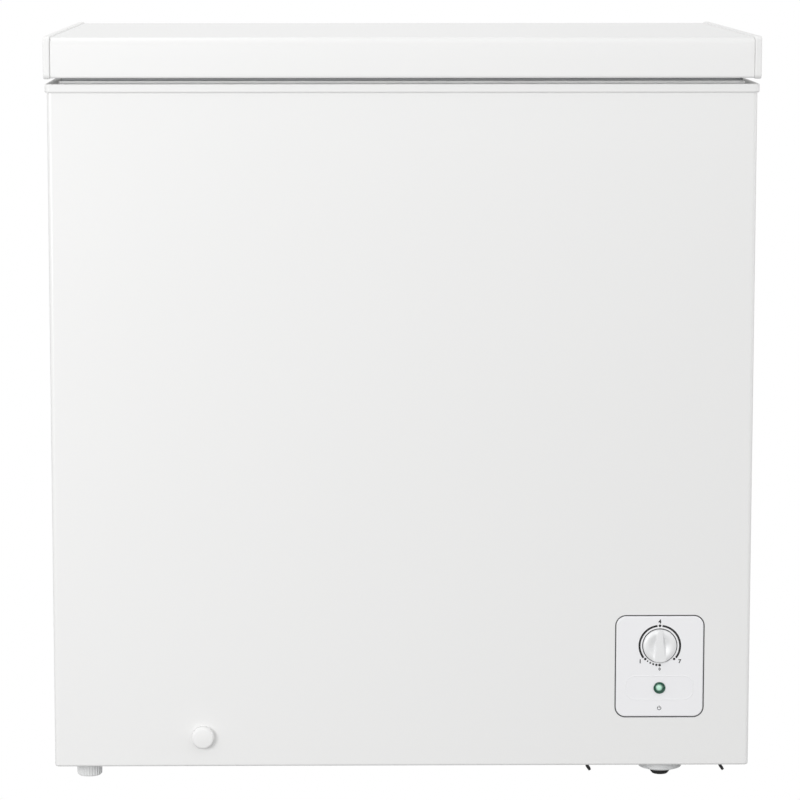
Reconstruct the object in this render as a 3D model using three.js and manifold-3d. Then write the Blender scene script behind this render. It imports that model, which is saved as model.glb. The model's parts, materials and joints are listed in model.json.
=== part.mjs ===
// Chest freezer with a rear-hinged lid, a thermostat dial and lamp at its lower right, a front drain,
// a compressor compartment under the step of the tub, and a sliding wire basket.
//
// Millimetres. +X is to the right as seen from the front, -Y is the front, +Z is up.
// The origin is at floor level, at the middle of the freezer's box.

import * as THREE from "three";
import { mergeVertices } from "three/addons/utils/BufferGeometryUtils.js";
import Module from "manifold-3d";

const wasm = await Module();
wasm.setup();

// ---------------------------------------------------------------- driving dimensions

const HEIGHT = 850; // floor to the top of the lid's end caps
const BODY_WIDTH = 792;
const BODY_DEPTH = 540;
const LID_WIDTH = 798;
const LID_OVERHANG = 8; // how far the lid stands out in front of and behind the body
const CAP_REACH = 9.5; // how far the drain cap stands out in front of the body
const HINGE_REACH = 22; // how far the hinges stand out behind the body

const GAP = 0.3; // between pieces that touch or fit into each other
const CUT = 1; // how far a cutter runs past the face it cuts
const SHEET = 1; // steel and liner sheet
const WALL = 60; // insulated wall, outer face to inner face

const BODY_FRONT = CAP_REACH - (CAP_REACH + BODY_DEPTH + HINGE_REACH) / 2;
const BODY_BACK = BODY_FRONT + BODY_DEPTH;
const BODY_SIDE = BODY_WIDTH / 2;
const BODY_BOTTOM = 20; // the feet lift the body by this much
const BODY_TOP = 789.5; // top edge of the wrap, inside the rim trim
const WRAP_CORNER = 5;
const WRAP_FLANGE = 14; // inward flanges at the wrap's bottom and back edges

// Rim trim
const TRIM_LIP = 2.2; // how far the trim stands out from the wrap
const TRIM_SIDE = BODY_SIDE + TRIM_LIP;
const TRIM_BOTTOM = 787;
const TRIM_TOP = 800;
const TRIM_SLOPE = 14; // the trim's top edge slopes up over this width
const LEDGE_TOP = 790; // inner ledge that carries the basket
const LEDGE_WIDTH = 16;
const SKIRT_INSET = WALL + 4; // inner face of the trim's skirt, from its outer face
const SKIRT_DROP = 18;
const SKIRT = 1.5;

// What fits inside the wrap, between the front sheet and the back panel
const PACK_SIDE = BODY_SIDE - SHEET - GAP;
const PACK_FRONT = BODY_FRONT + SHEET + GAP;
const BACK_PANEL_FACE = BODY_BACK - SHEET - GAP;
const PACK_BACK = BACK_PANEL_FACE - SHEET - GAP;
const PAN_BOTTOM = BODY_BOTTOM + SHEET + GAP;
const PACK_BOTTOM = PAN_BOTTOM + SHEET + GAP;
const PACK_TOP = TRIM_BOTTOM - GAP;

// Tub
const TUB_SIDE = BODY_SIDE - WALL;
const TUB_FRONT = BODY_FRONT + WALL;
const TUB_BACK = BODY_BACK - WALL;
const TUB_FLOOR = 82;
const TUB_CORNER = 20;
const TUB_TOP = 786.5;
const STEP_WALL_X = 130; // the step over the compressor starts here
const STEP_TOP = 305;

// Compressor compartment
const MACHINE_LEFT = 190;
const MACHINE_CEILING = 250;
const MACHINE_X = 287; // middle of the compressor
const MACHINE_Y = 150;
const BASE_LEFT = 211;
const BASE_RIGHT = 365.5;
const BASE_THICK = 1.5;
const BASE_TOP = PAN_BOTTOM + BASE_THICK;
const BASE_FLANGE = 3; // how far the base's side flanges hang below the body
const LUG_LENGTH = 12;
const BOLT_X = 58; // from the compressor's middle to its bolts
const BOLT_Y = 62;
const GROMMET_R = 9;
const GROMMET_TOP = BASE_TOP + 16;
const SHELL_TOP = 205;
const SHELL_STRETCH = 1.12; // the pot is this much longer than it is wide
const LEG_X = 70; // half the pot's leg plate
const LEG_Y = 74;
const LEG_THICK = 4;

// Cooling pipes
const PIPE_R = 2.4;
const PIPE_ROOM = PIPE_R + 1; // radius of the holes and grooves that the pipes lie in
const PIPE_BEND = 22;
const SHORT_BEND = 15;
const SENSOR_R = 1.5;
const SENSOR_Y = -100;
const SENSOR_LENGTH = 80;
const STUB = 12; // how far pipes reach into the foam above the compartment

// Covers
const COVER_THICK = 1.5;
const COVER_EDGE = 8; // overlap round the compartment's opening
const LOUVRES = { left: [205, 283], right: [295, 373], bottom: 60, rows: 9, height: 7 };
const GLAND_X = 208;
const GLAND_Z = 42;
const GLAND_R = 6;
const GLAND_BORE = 3.5;
const VENT = { y0: 60, y1: 200, z0: 70, z1: 170, rim: 6, thick: 1.8, rows: 9, height: 5 };

// Lid
const LID_SIDE = LID_WIDTH / 2;
const LID_FRONT = BODY_FRONT - LID_OVERHANG;
const LID_BACK = BODY_BACK + LID_OVERHANG;
const LID_BOTTOM = 803.6;
const LID_SKIN_TOP = HEIGHT - 1.4;
const LID_CAP = 8; // width of an end cap
const CAP_STEP = 0.8; // how far the end caps stand out from the skin in front and behind
const CAP_DROP = 1; // how far they hang below it
const CAP_CORNER = 5;
const LID_EDGE = 9; // radius of the long top edges
const LID_HEM = 12;
const SKIN_SIDE = LID_SIDE - LID_CAP;
const PACKING_SIDE = SKIN_SIDE - GAP;
const LID_PANEL = 2; // thickness of the moulded inner panel
const LID_PANEL_BOTTOM = LID_BOTTOM + SHEET + GAP;
const PLUG_BOTTOM = 796; // underside of the lid's inner panel
const PLUG_INSET = 82;
const PLUG_CORNER = 24;
const SEAL_INSET = [16, 36]; // both sides of the seal, from the trim's outer face
const SEAL_CORNER = 12;

// Hinges
const HINGE_X = 250;
const HINGE_Y = BODY_BACK + 16;
const HINGE_Z = 797;
const KNUCKLE_R = 6;
const PIN_R = 2.5;
const PIN_HEAD_R = 4.5;
const EAR = { inner: 16, outer: 18 };
const BASE_PLATE = { half: 28, bottom: 712, top: 783, thick: 2 };
const LEAF_THICK = 2.5;
const SPRING = { wire: 0.9, radius: 4.2, turns: 4, perTurn: 10, pitch: 2.2, first: 4.6 };

// Control panel
const DIAL_X = 293.3;
const PANEL_Z = 135.3;
const PANEL_WIDTH = 100;
const PANEL_HEIGHT = 117;
const PANEL_CORNER = 11.5;
const PANEL_GAP = 1; // open line round the panel
const PANEL_FLANGE = 4;
const PANEL_FACE = BODY_FRONT - 1;
const FLANGE_FACE = BODY_FRONT + SHEET + GAP;
const FLANGE_THICK = 2;
const WELL_DEPTH = 2;
const DIAL_Z = 159.3;
const KNOB_R = 19;
const KNOB_REACH = 5; // how far the dial knob stands out in front of the body
const SCOOP_R = 16.6; // outer edge of the finger scoops in the knob
const SCOOP_DEPTH = 3;
const SHAFT_R = 3;
const SHAFT_REACH = 1.2; // how far the shaft stands out in front of the body
const LAMP_Z = 110.5;
const LENS_R = 6.75;
const LENS_BARREL_R = 5;
const THERMOSTAT_FACE = BODY_FRONT + 14;
const THERMOSTAT = { half: 20, height: 17, depth: 26 };

// Drain
const DRAIN_X = -227;
const DRAIN_Z = 54.7;
const DRAIN_Y = -180; // where it leaves the tub's floor
const DRAIN_R = 8;
const DRAIN_BORE = 6;
const DRAIN_ROOM = DRAIN_R + 0.5;
const DRAIN_BEND = 18;
const SPIGOT_R = DRAIN_BORE - 0.4; // of the cap and the plug, inside the drain

// Feet
const FOOT_X = 359.7;
const FOOT_R = 14.4;
const FOOT_HEIGHT = 16;
const STUD_R = 4.2;
const STUD_TOP = 44;
const SOCKET_R = 8;
const SOCKET_TOP = 60;
const CUP_X = 299; // dished supports and pads on the right
const CUP_BOTTOM = 6.4;
const FOOT_FRONT_Y = BODY_FRONT + 46;
const FOOT_BACK_Y = BODY_BACK - 46;

// Basket
const BASKET_X = 206; // middle of the basket, over the step
const BASKET_WIDTH = 240;
const BASKET_BOTTOM = 590;
const BASKET_WALL = 4;
const BASKET_CORNER = 25;
const BASKET_CLEAR = 10; // from the basket's ends to the tub's walls
const HANGER_HALF = 60;
const HANGER_REACH = 13; // how far a hanger lies on the ledge
const RIM_RISE = 3; // the basket's rim above the ledge

// ---------------------------------------------------------------- materials

const finish = (color, roughness, metalness = 0) =>
  new THREE.MeshStandardMaterial({ color, roughness, metalness });

const WHITE_ENAMEL = finish(0xf2f2f1, 0.35);
const WHITE_PLASTIC = finish(0xf0f0ef, 0.45);
const PALE_PLASTIC = finish(0xe6e7e9, 0.35);
const SILVER_PLASTIC = finish(0xd9dadb, 0.3);
const GREY_PLASTIC = finish(0xcfd0d0, 0.55);
const DARK_PLASTIC = finish(0x2b2c2e, 0.5);
const LINER_WHITE = finish(0xeceeee, 0.4);
const FOAM = finish(0xe6d9a8, 0.9);
const GALVANISED = finish(0xb4b8ba, 0.45, 0.8);
const BLACK_ENAMEL = finish(0x18191a, 0.4);
const COPPER = finish(0xb87446, 0.35, 1);
const STEEL = finish(0xa9abad, 0.35, 1);
const RUBBER = finish(0x1c1c1c, 0.85);
const SEAL = finish(0xc4c6c8, 0.7);
const GREEN_LENS = finish(0x1f7a55, 0.15);
const COATED_WIRE = finish(0xf3f3f2, 0.4);

// ---------------------------------------------------------------- geometry tools

const ARC_STEPS = 4; // steps in each quarter of a rounded corner
const PER_SEGMENT = 2; // an arc in an extruded outline takes two steps for each curve segment
const X = new THREE.Vector3(1, 0, 0);
const Y = new THREE.Vector3(0, 1, 0);
const Z = new THREE.Vector3(0, 0, 1);

function toSolid(geometry) {
  const bare = geometry.clone();
  bare.deleteAttribute("normal");
  bare.deleteAttribute("uv");
  const merged = mergeVertices(bare, 1e-4);
  return new wasm.Manifold(
    new wasm.Mesh({
      numProp: 3,
      vertProperties: merged.attributes.position.array,
      triVerts: new Uint32Array(merged.index.array),
    }),
  );
}

function fromSolid(solid) {
  const mesh = solid.getMesh();
  const geometry = new THREE.BufferGeometry();
  geometry.setAttribute("position", new THREE.BufferAttribute(mesh.vertProperties, 3));
  geometry.setIndex(new THREE.BufferAttribute(mesh.triVerts, 1));
  return geometry;
}

function join(first, ...others) {
  return fromSolid(others.reduce((sum, g) => sum.add(toSolid(g)), toSolid(first)));
}

function cut(first, ...tools) {
  return fromSolid(tools.reduce((rest, g) => rest.subtract(toSolid(g)), toSolid(first)));
}

function block(x0, x1, y0, y1, z0, z1) {
  const box = new THREE.BoxGeometry(x1 - x0, y1 - y0, z1 - z0);
  return box.translate((x0 + x1) / 2, (y0 + y1) / 2, (z0 + z1) / 2);
}

// A round bar along an axis, from one place on it to another. at holds the other two coordinates.
function rod(axis, at, radius, from, to, sides = 20) {
  const bar = new THREE.CylinderGeometry(radius, radius, to - from, sides);
  const middle = (from + to) / 2;
  if (axis === "x") return bar.rotateZ(-Math.PI / 2).translate(middle, at[0], at[1]);
  if (axis === "y") return bar.translate(at[0], middle, at[1]);
  return bar.rotateX(Math.PI / 2).translate(at[0], at[1], middle);
}

// An outline in the plane across an axis, as (y, z), (x, z) or (x, y), pulled out along that axis.
function prism(shape, axis, from, to) {
  const solid = new THREE.ExtrudeGeometry(shape, {
    depth: to - from,
    bevelEnabled: false,
    curveSegments: ARC_STEPS / PER_SEGMENT,
  });
  const turn = new THREE.Matrix4();
  if (axis === "x") return solid.applyMatrix4(turn.makeBasis(Y, Z, X)).translate(from, 0, 0);
  if (axis === "y") {
    return solid.applyMatrix4(turn.makeBasis(X, Z, Y.clone().negate())).translate(0, to, 0);
  }
  return solid.translate(0, 0, from);
}

const outline = (points) => new THREE.Shape(points.map(([u, v]) => new THREE.Vector2(u, v)));

function roundedRectangle(u0, u1, v0, v1, radius) {
  const shape = new THREE.Shape();
  const quarter = Math.PI / 2;
  shape.absarc(u1 - radius, v0 + radius, radius, -quarter, 0);
  shape.absarc(u1 - radius, v1 - radius, radius, 0, quarter);
  shape.absarc(u0 + radius, v1 - radius, radius, quarter, 2 * quarter);
  shape.absarc(u0 + radius, v0 + radius, radius, 2 * quarter, 3 * quarter);
  return shape;
}

// A turned piece. The profile holds [radius, height] points, and starts and ends on the axis.
function turned(profile, sides = 24) {
  const points = profile.map(([r, h]) => new THREE.Vector2(r, h));
  return new THREE.LatheGeometry(points, sides).rotateX(Math.PI / 2);
}

// A bent line with rounded corners, as the points that a tube steps through.
function bentLine(corners, bend, steps = 3) {
  const places = corners.map((c) => new THREE.Vector3(...c));
  const points = [places[0]];
  for (let i = 1; i < places.length - 1; i++) {
    const before = places[i - 1].clone().sub(places[i]).setLength(bend).add(places[i]);
    const after = places[i + 1].clone().sub(places[i]).setLength(bend).add(places[i]);
    const corner = new THREE.QuadraticBezierCurve3(before, places[i], after);
    points.push(...corner.getPoints(steps));
  }
  points.push(places[places.length - 1]);
  return points;
}

// A path that steps from point to point, so that straight runs cost one step each.
class Route extends THREE.Curve {
  constructor(points) {
    super();
    this.points = points;
  }
  getPoint(t) {
    const place = t * (this.points.length - 1);
    const i = Math.min(Math.floor(place), this.points.length - 2);
    return this.points[i].clone().lerp(this.points[i + 1], place - i);
  }
  getPointAt(u) {
    return this.getPoint(u);
  }
  getTangentAt(u) {
    const i = Math.round(u * (this.points.length - 1));
    const before = this.points[Math.max(i - 1, 0)];
    const after = this.points[Math.min(i + 1, this.points.length - 1)];
    return after.clone().sub(before).normalize();
  }
}

// A round tube through points, solid unless a bore is given.
function tube(points, radius, sides = 6, bore = 0) {
  const section = new THREE.Shape().absarc(0, 0, radius, 0, 2 * Math.PI);
  if (bore) section.holes.push(new THREE.Path().absarc(0, 0, bore, 0, 2 * Math.PI));
  return new THREE.ExtrudeGeometry(section, {
    steps: points.length - 1,
    curveSegments: sides / PER_SEGMENT,
    extrudePath: new Route(points),
  });
}

// A closed ring whose section follows a rounded rectangle. The section's points are
// [inset from the rectangle, height, corner radius].
function rimRing(side, front, back, section) {
  const middle = (front + back) / 2;
  const reach = (back - front) / 2;
  const cornerPoints = ARC_STEPS + 1;
  const around = 4 * cornerPoints;
  const signs = [[1, 1], [-1, 1], [-1, -1], [1, -1]];
  const positions = [];
  for (const [inset, height, radius] of section) {
    signs.forEach(([sx, sy], corner) => {
      for (let k = 0; k < cornerPoints; k++) {
        const angle = (corner + k / ARC_STEPS) * (Math.PI / 2);
        positions.push(
          sx * (side - inset - radius) + radius * Math.cos(angle),
          middle + sy * (reach - inset - radius) + radius * Math.sin(angle),
          height,
        );
      }
    });
  }
  const index = [];
  section.forEach((_, i) => {
    const here = i * around;
    const next = ((i + 1) % section.length) * around;
    for (let j = 0; j < around; j++) {
      const k = (j + 1) % around;
      index.push(here + j, here + k, next + j, here + k, next + k, next + j);
    }
  });
  const ring = new THREE.BufferGeometry();
  ring.setAttribute("position", new THREE.Float32BufferAttribute(positions, 3));
  ring.setIndex(index);
  return ring;
}

// Rows of slots through a panel that faces along an axis.
function slots(axis, u0, u1, v0, v1, rows, height, from, to) {
  const pitch = (v1 - v0) / rows;
  return Array.from({ length: rows }, (_, i) => {
    const middle = v0 + (i + 0.5) * pitch;
    const slot = [[u0, middle - height / 2], [u1, middle - height / 2]];
    slot.push([u1, middle + height / 2], [u0, middle + height / 2]);
    return prism(outline(slot), axis, from, to);
  });
}

const freezer = new THREE.Group();

function add(name, geometry, material) {
  const mesh = new THREE.Mesh(geometry, material);
  mesh.name = name;
  freezer.add(mesh);
}

// ---------------------------------------------------------------- cabinet shell

const PANEL_BOX = [
  DIAL_X - PANEL_WIDTH / 2,
  DIAL_X + PANEL_WIDTH / 2,
  PANEL_Z - PANEL_HEIGHT / 2,
  PANEL_Z + PANEL_HEIGHT / 2,
];

function panelOutline(grow) {
  const [x0, x1, z0, z1] = PANEL_BOX;
  return roundedRectangle(x0 - grow, x1 + grow, z0 - grow, z1 + grow, PANEL_CORNER + grow);
}

// The wrap is one sheet bent round the front and both sides, with inward flanges at its bottom and back.
function cabinetWrap() {
  const outer = roundedRectangle(
    -BODY_SIDE, BODY_SIDE, BODY_FRONT, BODY_BACK + 2 * WRAP_CORNER, WRAP_CORNER,
  );
  const inner = roundedRectangle(
    -BODY_SIDE + SHEET, BODY_SIDE - SHEET, BODY_FRONT + SHEET, BODY_BACK + WRAP_CORNER,
    WRAP_CORNER - SHEET,
  );
  const walls = cut(prism(outer, "z", BODY_BOTTOM, BODY_TOP), prism(inner, "z", 0, HEIGHT));
  const trimmed = cut(
    walls,
    block(-BODY_SIDE - CUT, BODY_SIDE + CUT, BODY_BACK, BODY_BACK + 3 * WRAP_CORNER, 0, HEIGHT),
  );
  const backFlange = (side) => {
    const edge = side * (BODY_SIDE - SHEET / 2);
    const lip = side * (BODY_SIDE - WRAP_FLANGE);
    const ends = [Math.min(edge, lip), Math.max(edge, lip)];
    return block(...ends, BODY_BACK - SHEET, BODY_BACK, BODY_BOTTOM, BODY_TOP);
  };
  const floor = prism(outer, "z", BODY_BOTTOM, BODY_BOTTOM + SHEET);
  const lip = cut(
    floor,
    block(
      -BODY_SIDE + WRAP_FLANGE, BODY_SIDE - WRAP_FLANGE,
      BODY_FRONT + WRAP_FLANGE, HEIGHT, 0, PAN_BOTTOM,
    ),
    block(-BODY_SIDE - CUT, BODY_SIDE + CUT, BODY_BACK, HEIGHT, 0, PAN_BOTTOM),
  );
  return cut(
    join(trimmed, backFlange(-1), backFlange(1), lip),
    prism(panelOutline(PANEL_GAP), "y", BODY_FRONT - CUT, PACK_FRONT),
    rod("y", [DRAIN_X, DRAIN_Z], DRAIN_R + 1, BODY_FRONT - CUT, PACK_FRONT),
    block(PACK_SIDE, BODY_SIDE + CUT, VENT.y0, VENT.y1, VENT.z0, VENT.z1),
  );
}

// Cutters that clear the wrap's two rounded front corners.
function frontCorners() {
  return [-1, 1].map((side) => {
    const ends = [side * PACK_SIDE, side * (PACK_SIDE - WRAP_CORNER)].sort((a, b) => a - b);
    return block(...ends, PACK_FRONT - CUT, PACK_FRONT + WRAP_CORNER, 0, HEIGHT);
  });
}

function backPanel() {
  const sheet = block(
    -PACK_SIDE, PACK_SIDE, BACK_PANEL_FACE - SHEET, BACK_PANEL_FACE, PAN_BOTTOM, PACK_TOP,
  );
  const notch = block(
    MACHINE_LEFT, BODY_SIDE, PACK_BACK, BODY_BACK, 0, MACHINE_CEILING - SHEET,
  );
  return cut(sheet, notch);
}

function bottomPan() {
  const sheet = block(
    -PACK_SIDE, MACHINE_LEFT - SHEET - GAP, PACK_FRONT, PACK_BACK, PAN_BOTTOM, PAN_BOTTOM + SHEET,
  );
  const holes = [FOOT_FRONT_Y, FOOT_BACK_Y].map((y) =>
    rod("z", [-FOOT_X, y], SOCKET_R + GAP, 0, PACK_BOTTOM),
  );
  return cut(sheet, ...holes, ...frontCorners());
}

// The bulkhead is an angle: the compartment's left wall and its ceiling.
function machineBulkhead() {
  const angle = outline([
    [MACHINE_LEFT - SHEET, PAN_BOTTOM],
    [MACHINE_LEFT, PAN_BOTTOM],
    [MACHINE_LEFT, MACHINE_CEILING - SHEET],
    [PACK_SIDE, MACHINE_CEILING - SHEET],
    [PACK_SIDE, MACHINE_CEILING],
    [MACHINE_LEFT - SHEET, MACHINE_CEILING],
  ]);
  const sheet = prism(angle, "y", PACK_FRONT, PACK_BACK);
  const pipes = [CAPILLARY, SUCTION, DISCHARGE].map((route) => tube(route, PIPE_ROOM));
  return cut(sheet, ...pipes, ...frontCorners());
}

// ---------------------------------------------------------------- refrigeration circuit

const CAPILLARY = bentLine(
  [
    [DIAL_X, THERMOSTAT_FACE + 14, DIAL_Z + 20],
    [DIAL_X, THERMOSTAT_FACE + 14, STEP_TOP - 25],
    [DIAL_X, SENSOR_Y, STEP_TOP - 25],
    [DIAL_X - SENSOR_LENGTH, SENSOR_Y, STEP_TOP - 25],
  ],
  SHORT_BEND,
);

// A pipe from the pot's shell, towards the front and then up through the compartment's ceiling.
const potPipe = (x, nearY, farY, z) => bentLine(
  [[x, nearY, z], [x, farY, z], [x, farY, MACHINE_CEILING + STUB]],
  SHORT_BEND,
);
const SUCTION = potPipe(MACHINE_X - 45, MACHINE_Y - 60, MACHINE_Y - 95, SHELL_TOP - 60);
const DISCHARGE = potPipe(MACHINE_X + 35, MACHINE_Y - 68, MACHINE_Y - 105, SHELL_TOP - 80);

// The evaporator winds round the tub above the step.
function evaporatorRoute() {
  const off = 2 * GAP + PIPE_R;
  const side = TUB_SIDE + SHEET + off;
  const front = TUB_FRONT - SHEET - off;
  const back = TUB_BACK + SHEET + off;
  const turns = 6;
  const first = STEP_TOP + 30;
  const pitch = 78;
  const corners = [[-side, front, first]];
  for (let i = 0; i < turns; i++) {
    const z = first + i * pitch;
    corners.push([side, front, z], [side, back, z], [-side, back, z], [-side, front, z + pitch / 2]);
    if (i < turns - 1) corners.push([-side + 60, front, z + pitch]);
  }
  return bentLine(corners, PIPE_BEND, 2);
}

// The condenser lies against the wrap, to and fro along its right side, front and left side.
function condenserRoute() {
  const side = PACK_SIDE - PIPE_R;
  const front = PACK_FRONT + PIPE_R;
  const back = PACK_BACK - 60;
  const levels = [300, 400, 500, 600, 700];
  const corners = levels.flatMap((z, i) => {
    const run = [[side, back, z], [side, front, z], [-side, front, z], [-side, back, z]];
    return i % 2 ? run.reverse() : run;
  });
  return bentLine(corners, PIPE_BEND, 2);
}

const EVAPORATOR = evaporatorRoute();
const CONDENSER = condenserRoute();

// ---------------------------------------------------------------- tub and insulation

// The space inside the tub, grown outwards by a distance on every wall.
function tubSpace(grow, top) {
  const space = prism(
    roundedRectangle(
      -TUB_SIDE - grow, TUB_SIDE + grow, TUB_FRONT - grow, TUB_BACK + grow, TUB_CORNER + grow,
    ),
    "z", TUB_FLOOR - grow, top,
  );
  const step = block(STEP_WALL_X + grow, HEIGHT, -HEIGHT, HEIGHT, 0, STEP_TOP - grow);
  return cut(space, step);
}

const DRAIN_ROUTE = bentLine(
  [
    [DRAIN_X, DRAIN_Y, TUB_FLOOR - SHEET - GAP],
    [DRAIN_X, DRAIN_Y, DRAIN_Z],
    [DRAIN_X, PACK_FRONT - SHEET - GAP, DRAIN_Z],
  ],
  DRAIN_BEND, 5,
);

function innerLiner() {
  const drainHole = rod("z", [DRAIN_X, DRAIN_Y], DRAIN_BORE, 0, TUB_FLOOR + CUT);
  return cut(tubSpace(SHEET, TUB_TOP), tubSpace(0, HEIGHT), drainHole);
}

function cabinetFoam() {
  const filled = block(-PACK_SIDE, PACK_SIDE, PACK_FRONT, PACK_BACK, PACK_BOTTOM, PACK_TOP);
  const machine = block(
    MACHINE_LEFT - SHEET - GAP, HEIGHT, -HEIGHT, HEIGHT, 0, MACHINE_CEILING + GAP,
  );
  const sockets = [FOOT_FRONT_Y, FOOT_BACK_Y].map((y) =>
    rod("z", [-FOOT_X, y], SOCKET_R + GAP, 0, SOCKET_TOP + GAP),
  );
  return cut(
    filled, machine, ...frontCorners(),
    tubSpace(SHEET + GAP, HEIGHT),
    tube(DRAIN_ROUTE, DRAIN_ROOM, 12),
    rod("z", [DRAIN_X, DRAIN_Y], DRAIN_ROOM, TUB_FLOOR - 12, TUB_FLOOR + CUT),
    rod("y", [DRAIN_X, DRAIN_Z], DRAIN_ROOM, BODY_FRONT, PACK_FRONT + 10),
    ...[EVAPORATOR, CONDENSER, CAPILLARY, SUCTION, DISCHARGE].map((route) => tube(route, PIPE_ROOM)),
    ...sockets,
  );
}

function rimTrim() {
  const wrapOuter = TRIM_LIP - GAP;
  const wrapInner = TRIM_LIP + SHEET + GAP;
  const skirtOuter = SKIRT_INSET - SKIRT;
  return rimRing(TRIM_SIDE, BODY_FRONT - TRIM_LIP, BODY_BACK + TRIM_LIP, [
    [0, TRIM_BOTTOM, 6],
    [0, TRIM_TOP - 6, 6],
    [1, TRIM_TOP - 4, 6],
    [3, TRIM_TOP - 3, 7],
    [TRIM_SLOPE, TRIM_TOP, 9],
    [SKIRT_INSET - LEDGE_WIDTH - 4, TRIM_TOP, 14],
    [SKIRT_INSET - LEDGE_WIDTH, LEDGE_TOP, 15],
    [SKIRT_INSET, LEDGE_TOP, 18],
    [SKIRT_INSET, LEDGE_TOP - SKIRT_DROP, 18],
    [skirtOuter, LEDGE_TOP - SKIRT_DROP, 19],
    [skirtOuter, TRIM_BOTTOM, 19],
    [wrapInner, TRIM_BOTTOM, 5],
    [wrapInner, BODY_TOP + GAP, 5],
    [wrapOuter, BODY_TOP + GAP, 0.5],
    [wrapOuter, TRIM_BOTTOM, 0.5],
  ]);
}

// ---------------------------------------------------------------- machine compartment

// The base plate is a channel, open downwards, with a slanted lug at the front of each flange.
function compressorBase() {
  const front = BODY_FRONT + WRAP_FLANGE + 2;
  const low = BODY_BOTTOM - BASE_FLANGE;
  const channel = prism(
    outline([
      [BASE_LEFT, low], [BASE_LEFT + BASE_THICK, low],
      [BASE_LEFT + BASE_THICK, PAN_BOTTOM], [BASE_RIGHT - BASE_THICK, PAN_BOTTOM],
      [BASE_RIGHT - BASE_THICK, low], [BASE_RIGHT, low],
      [BASE_RIGHT, BASE_TOP], [BASE_LEFT, BASE_TOP],
    ]),
    "y", PACK_FRONT, PACK_BACK,
  );
  const frontRelief = block(
    BASE_LEFT - CUT, BASE_RIGHT + CUT, PACK_FRONT - CUT, front, 0, PAN_BOTTOM,
  );
  const lugs = [BASE_LEFT, BASE_RIGHT - BASE_THICK].map((x) => {
    const root = BODY_BOTTOM - 1;
    const slanted = outline([
      [x + 0.3, root], [x + 0.3, root - 4.5], [x + 4, root - 9.6], [x + 6.5, root - 8], [x + 1.2, root],
    ]);
    return prism(slanted, "y", front + 1, front + LUG_LENGTH);
  });
  return join(cut(channel, frontRelief), ...lugs);
}

function compressorShell() {
  const pot = turned([
    [0, GROMMET_TOP + 2], [42, GROMMET_TOP + LEG_THICK], [60, GROMMET_TOP + 18],
    [63, GROMMET_TOP + 45], [65, GROMMET_TOP + 75], [65, GROMMET_TOP + 84],
    [60, SHELL_TOP - 32], [47, SHELL_TOP - 11], [26, SHELL_TOP - 2], [0, SHELL_TOP],
  ]);
  pot.scale(1, SHELL_STRETCH, 1).translate(MACHINE_X, MACHINE_Y, 0);
  const legs = block(
    MACHINE_X - LEG_X, MACHINE_X + LEG_X, MACHINE_Y - LEG_Y, MACHINE_Y + LEG_Y,
    GROMMET_TOP + GAP, GROMMET_TOP + LEG_THICK,
  );
  return join(pot, legs);
}

function coverWithLouvres() {
  const inner = BODY_BACK + GAP;
  const outer = inner + COVER_THICK;
  const plate = block(
    MACHINE_LEFT - COVER_EDGE, BODY_SIDE - 3, inner, outer,
    BODY_BOTTOM + 4, MACHINE_CEILING + COVER_EDGE,
  );
  const openings = [LOUVRES.left, LOUVRES.right].flatMap(([x0, x1]) =>
    slots(
      "y", x0, x1, LOUVRES.bottom, MACHINE_CEILING - 20, LOUVRES.rows, LOUVRES.height,
      inner - CUT, outer + CUT,
    ),
  );
  const glandHole = rod("y", [GLAND_X, GLAND_Z], GLAND_R + GAP, inner - CUT, outer + CUT);
  return cut(plate, ...openings, glandHole);
}

function cordGland() {
  const inner = BODY_BACK - 8;
  const outer = BODY_BACK + 14;
  const collar = BODY_BACK + GAP + COVER_THICK + GAP;
  const solid = join(
    rod("y", [GLAND_X, GLAND_Z], GLAND_R, inner, outer),
    rod("y", [GLAND_X, GLAND_Z], GLAND_R + 4, collar, collar + 3),
  );
  return cut(solid, rod("y", [GLAND_X, GLAND_Z], GLAND_BORE, inner - CUT, outer + CUT));
}

function sideVent() {
  const { y0, y1, z0, z1, rim, thick, rows, height } = VENT;
  const inner = BODY_SIDE + GAP;
  const outer = inner + thick;
  const plate = block(inner, outer, y0 - rim, y1 + rim, z0 - rim, z1 + rim);
  return cut(plate, ...slots("x", y0 + 4, y1 - 4, z0, z1, rows, height, inner - CUT, outer + CUT));
}

// ---------------------------------------------------------------- control panel

function controlPanel() {
  const back = FLANGE_FACE + FLANGE_THICK;
  const plate = join(
    prism(panelOutline(0), "y", PANEL_FACE, back),
    prism(panelOutline(PANEL_FLANGE), "y", FLANGE_FACE, back),
  );
  const front = PANEL_FACE - CUT;
  return cut(
    plate,
    rod("y", [DIAL_X, DIAL_Z], KNOB_R + 0.7, front, PANEL_FACE + WELL_DEPTH, 32),
    rod("y", [DIAL_X, DIAL_Z], SHAFT_R + 0.5, front, back + CUT),
    rod("y", [DIAL_X, LAMP_Z], LENS_BARREL_R + 1, front, back + CUT),
  );
}

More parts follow.
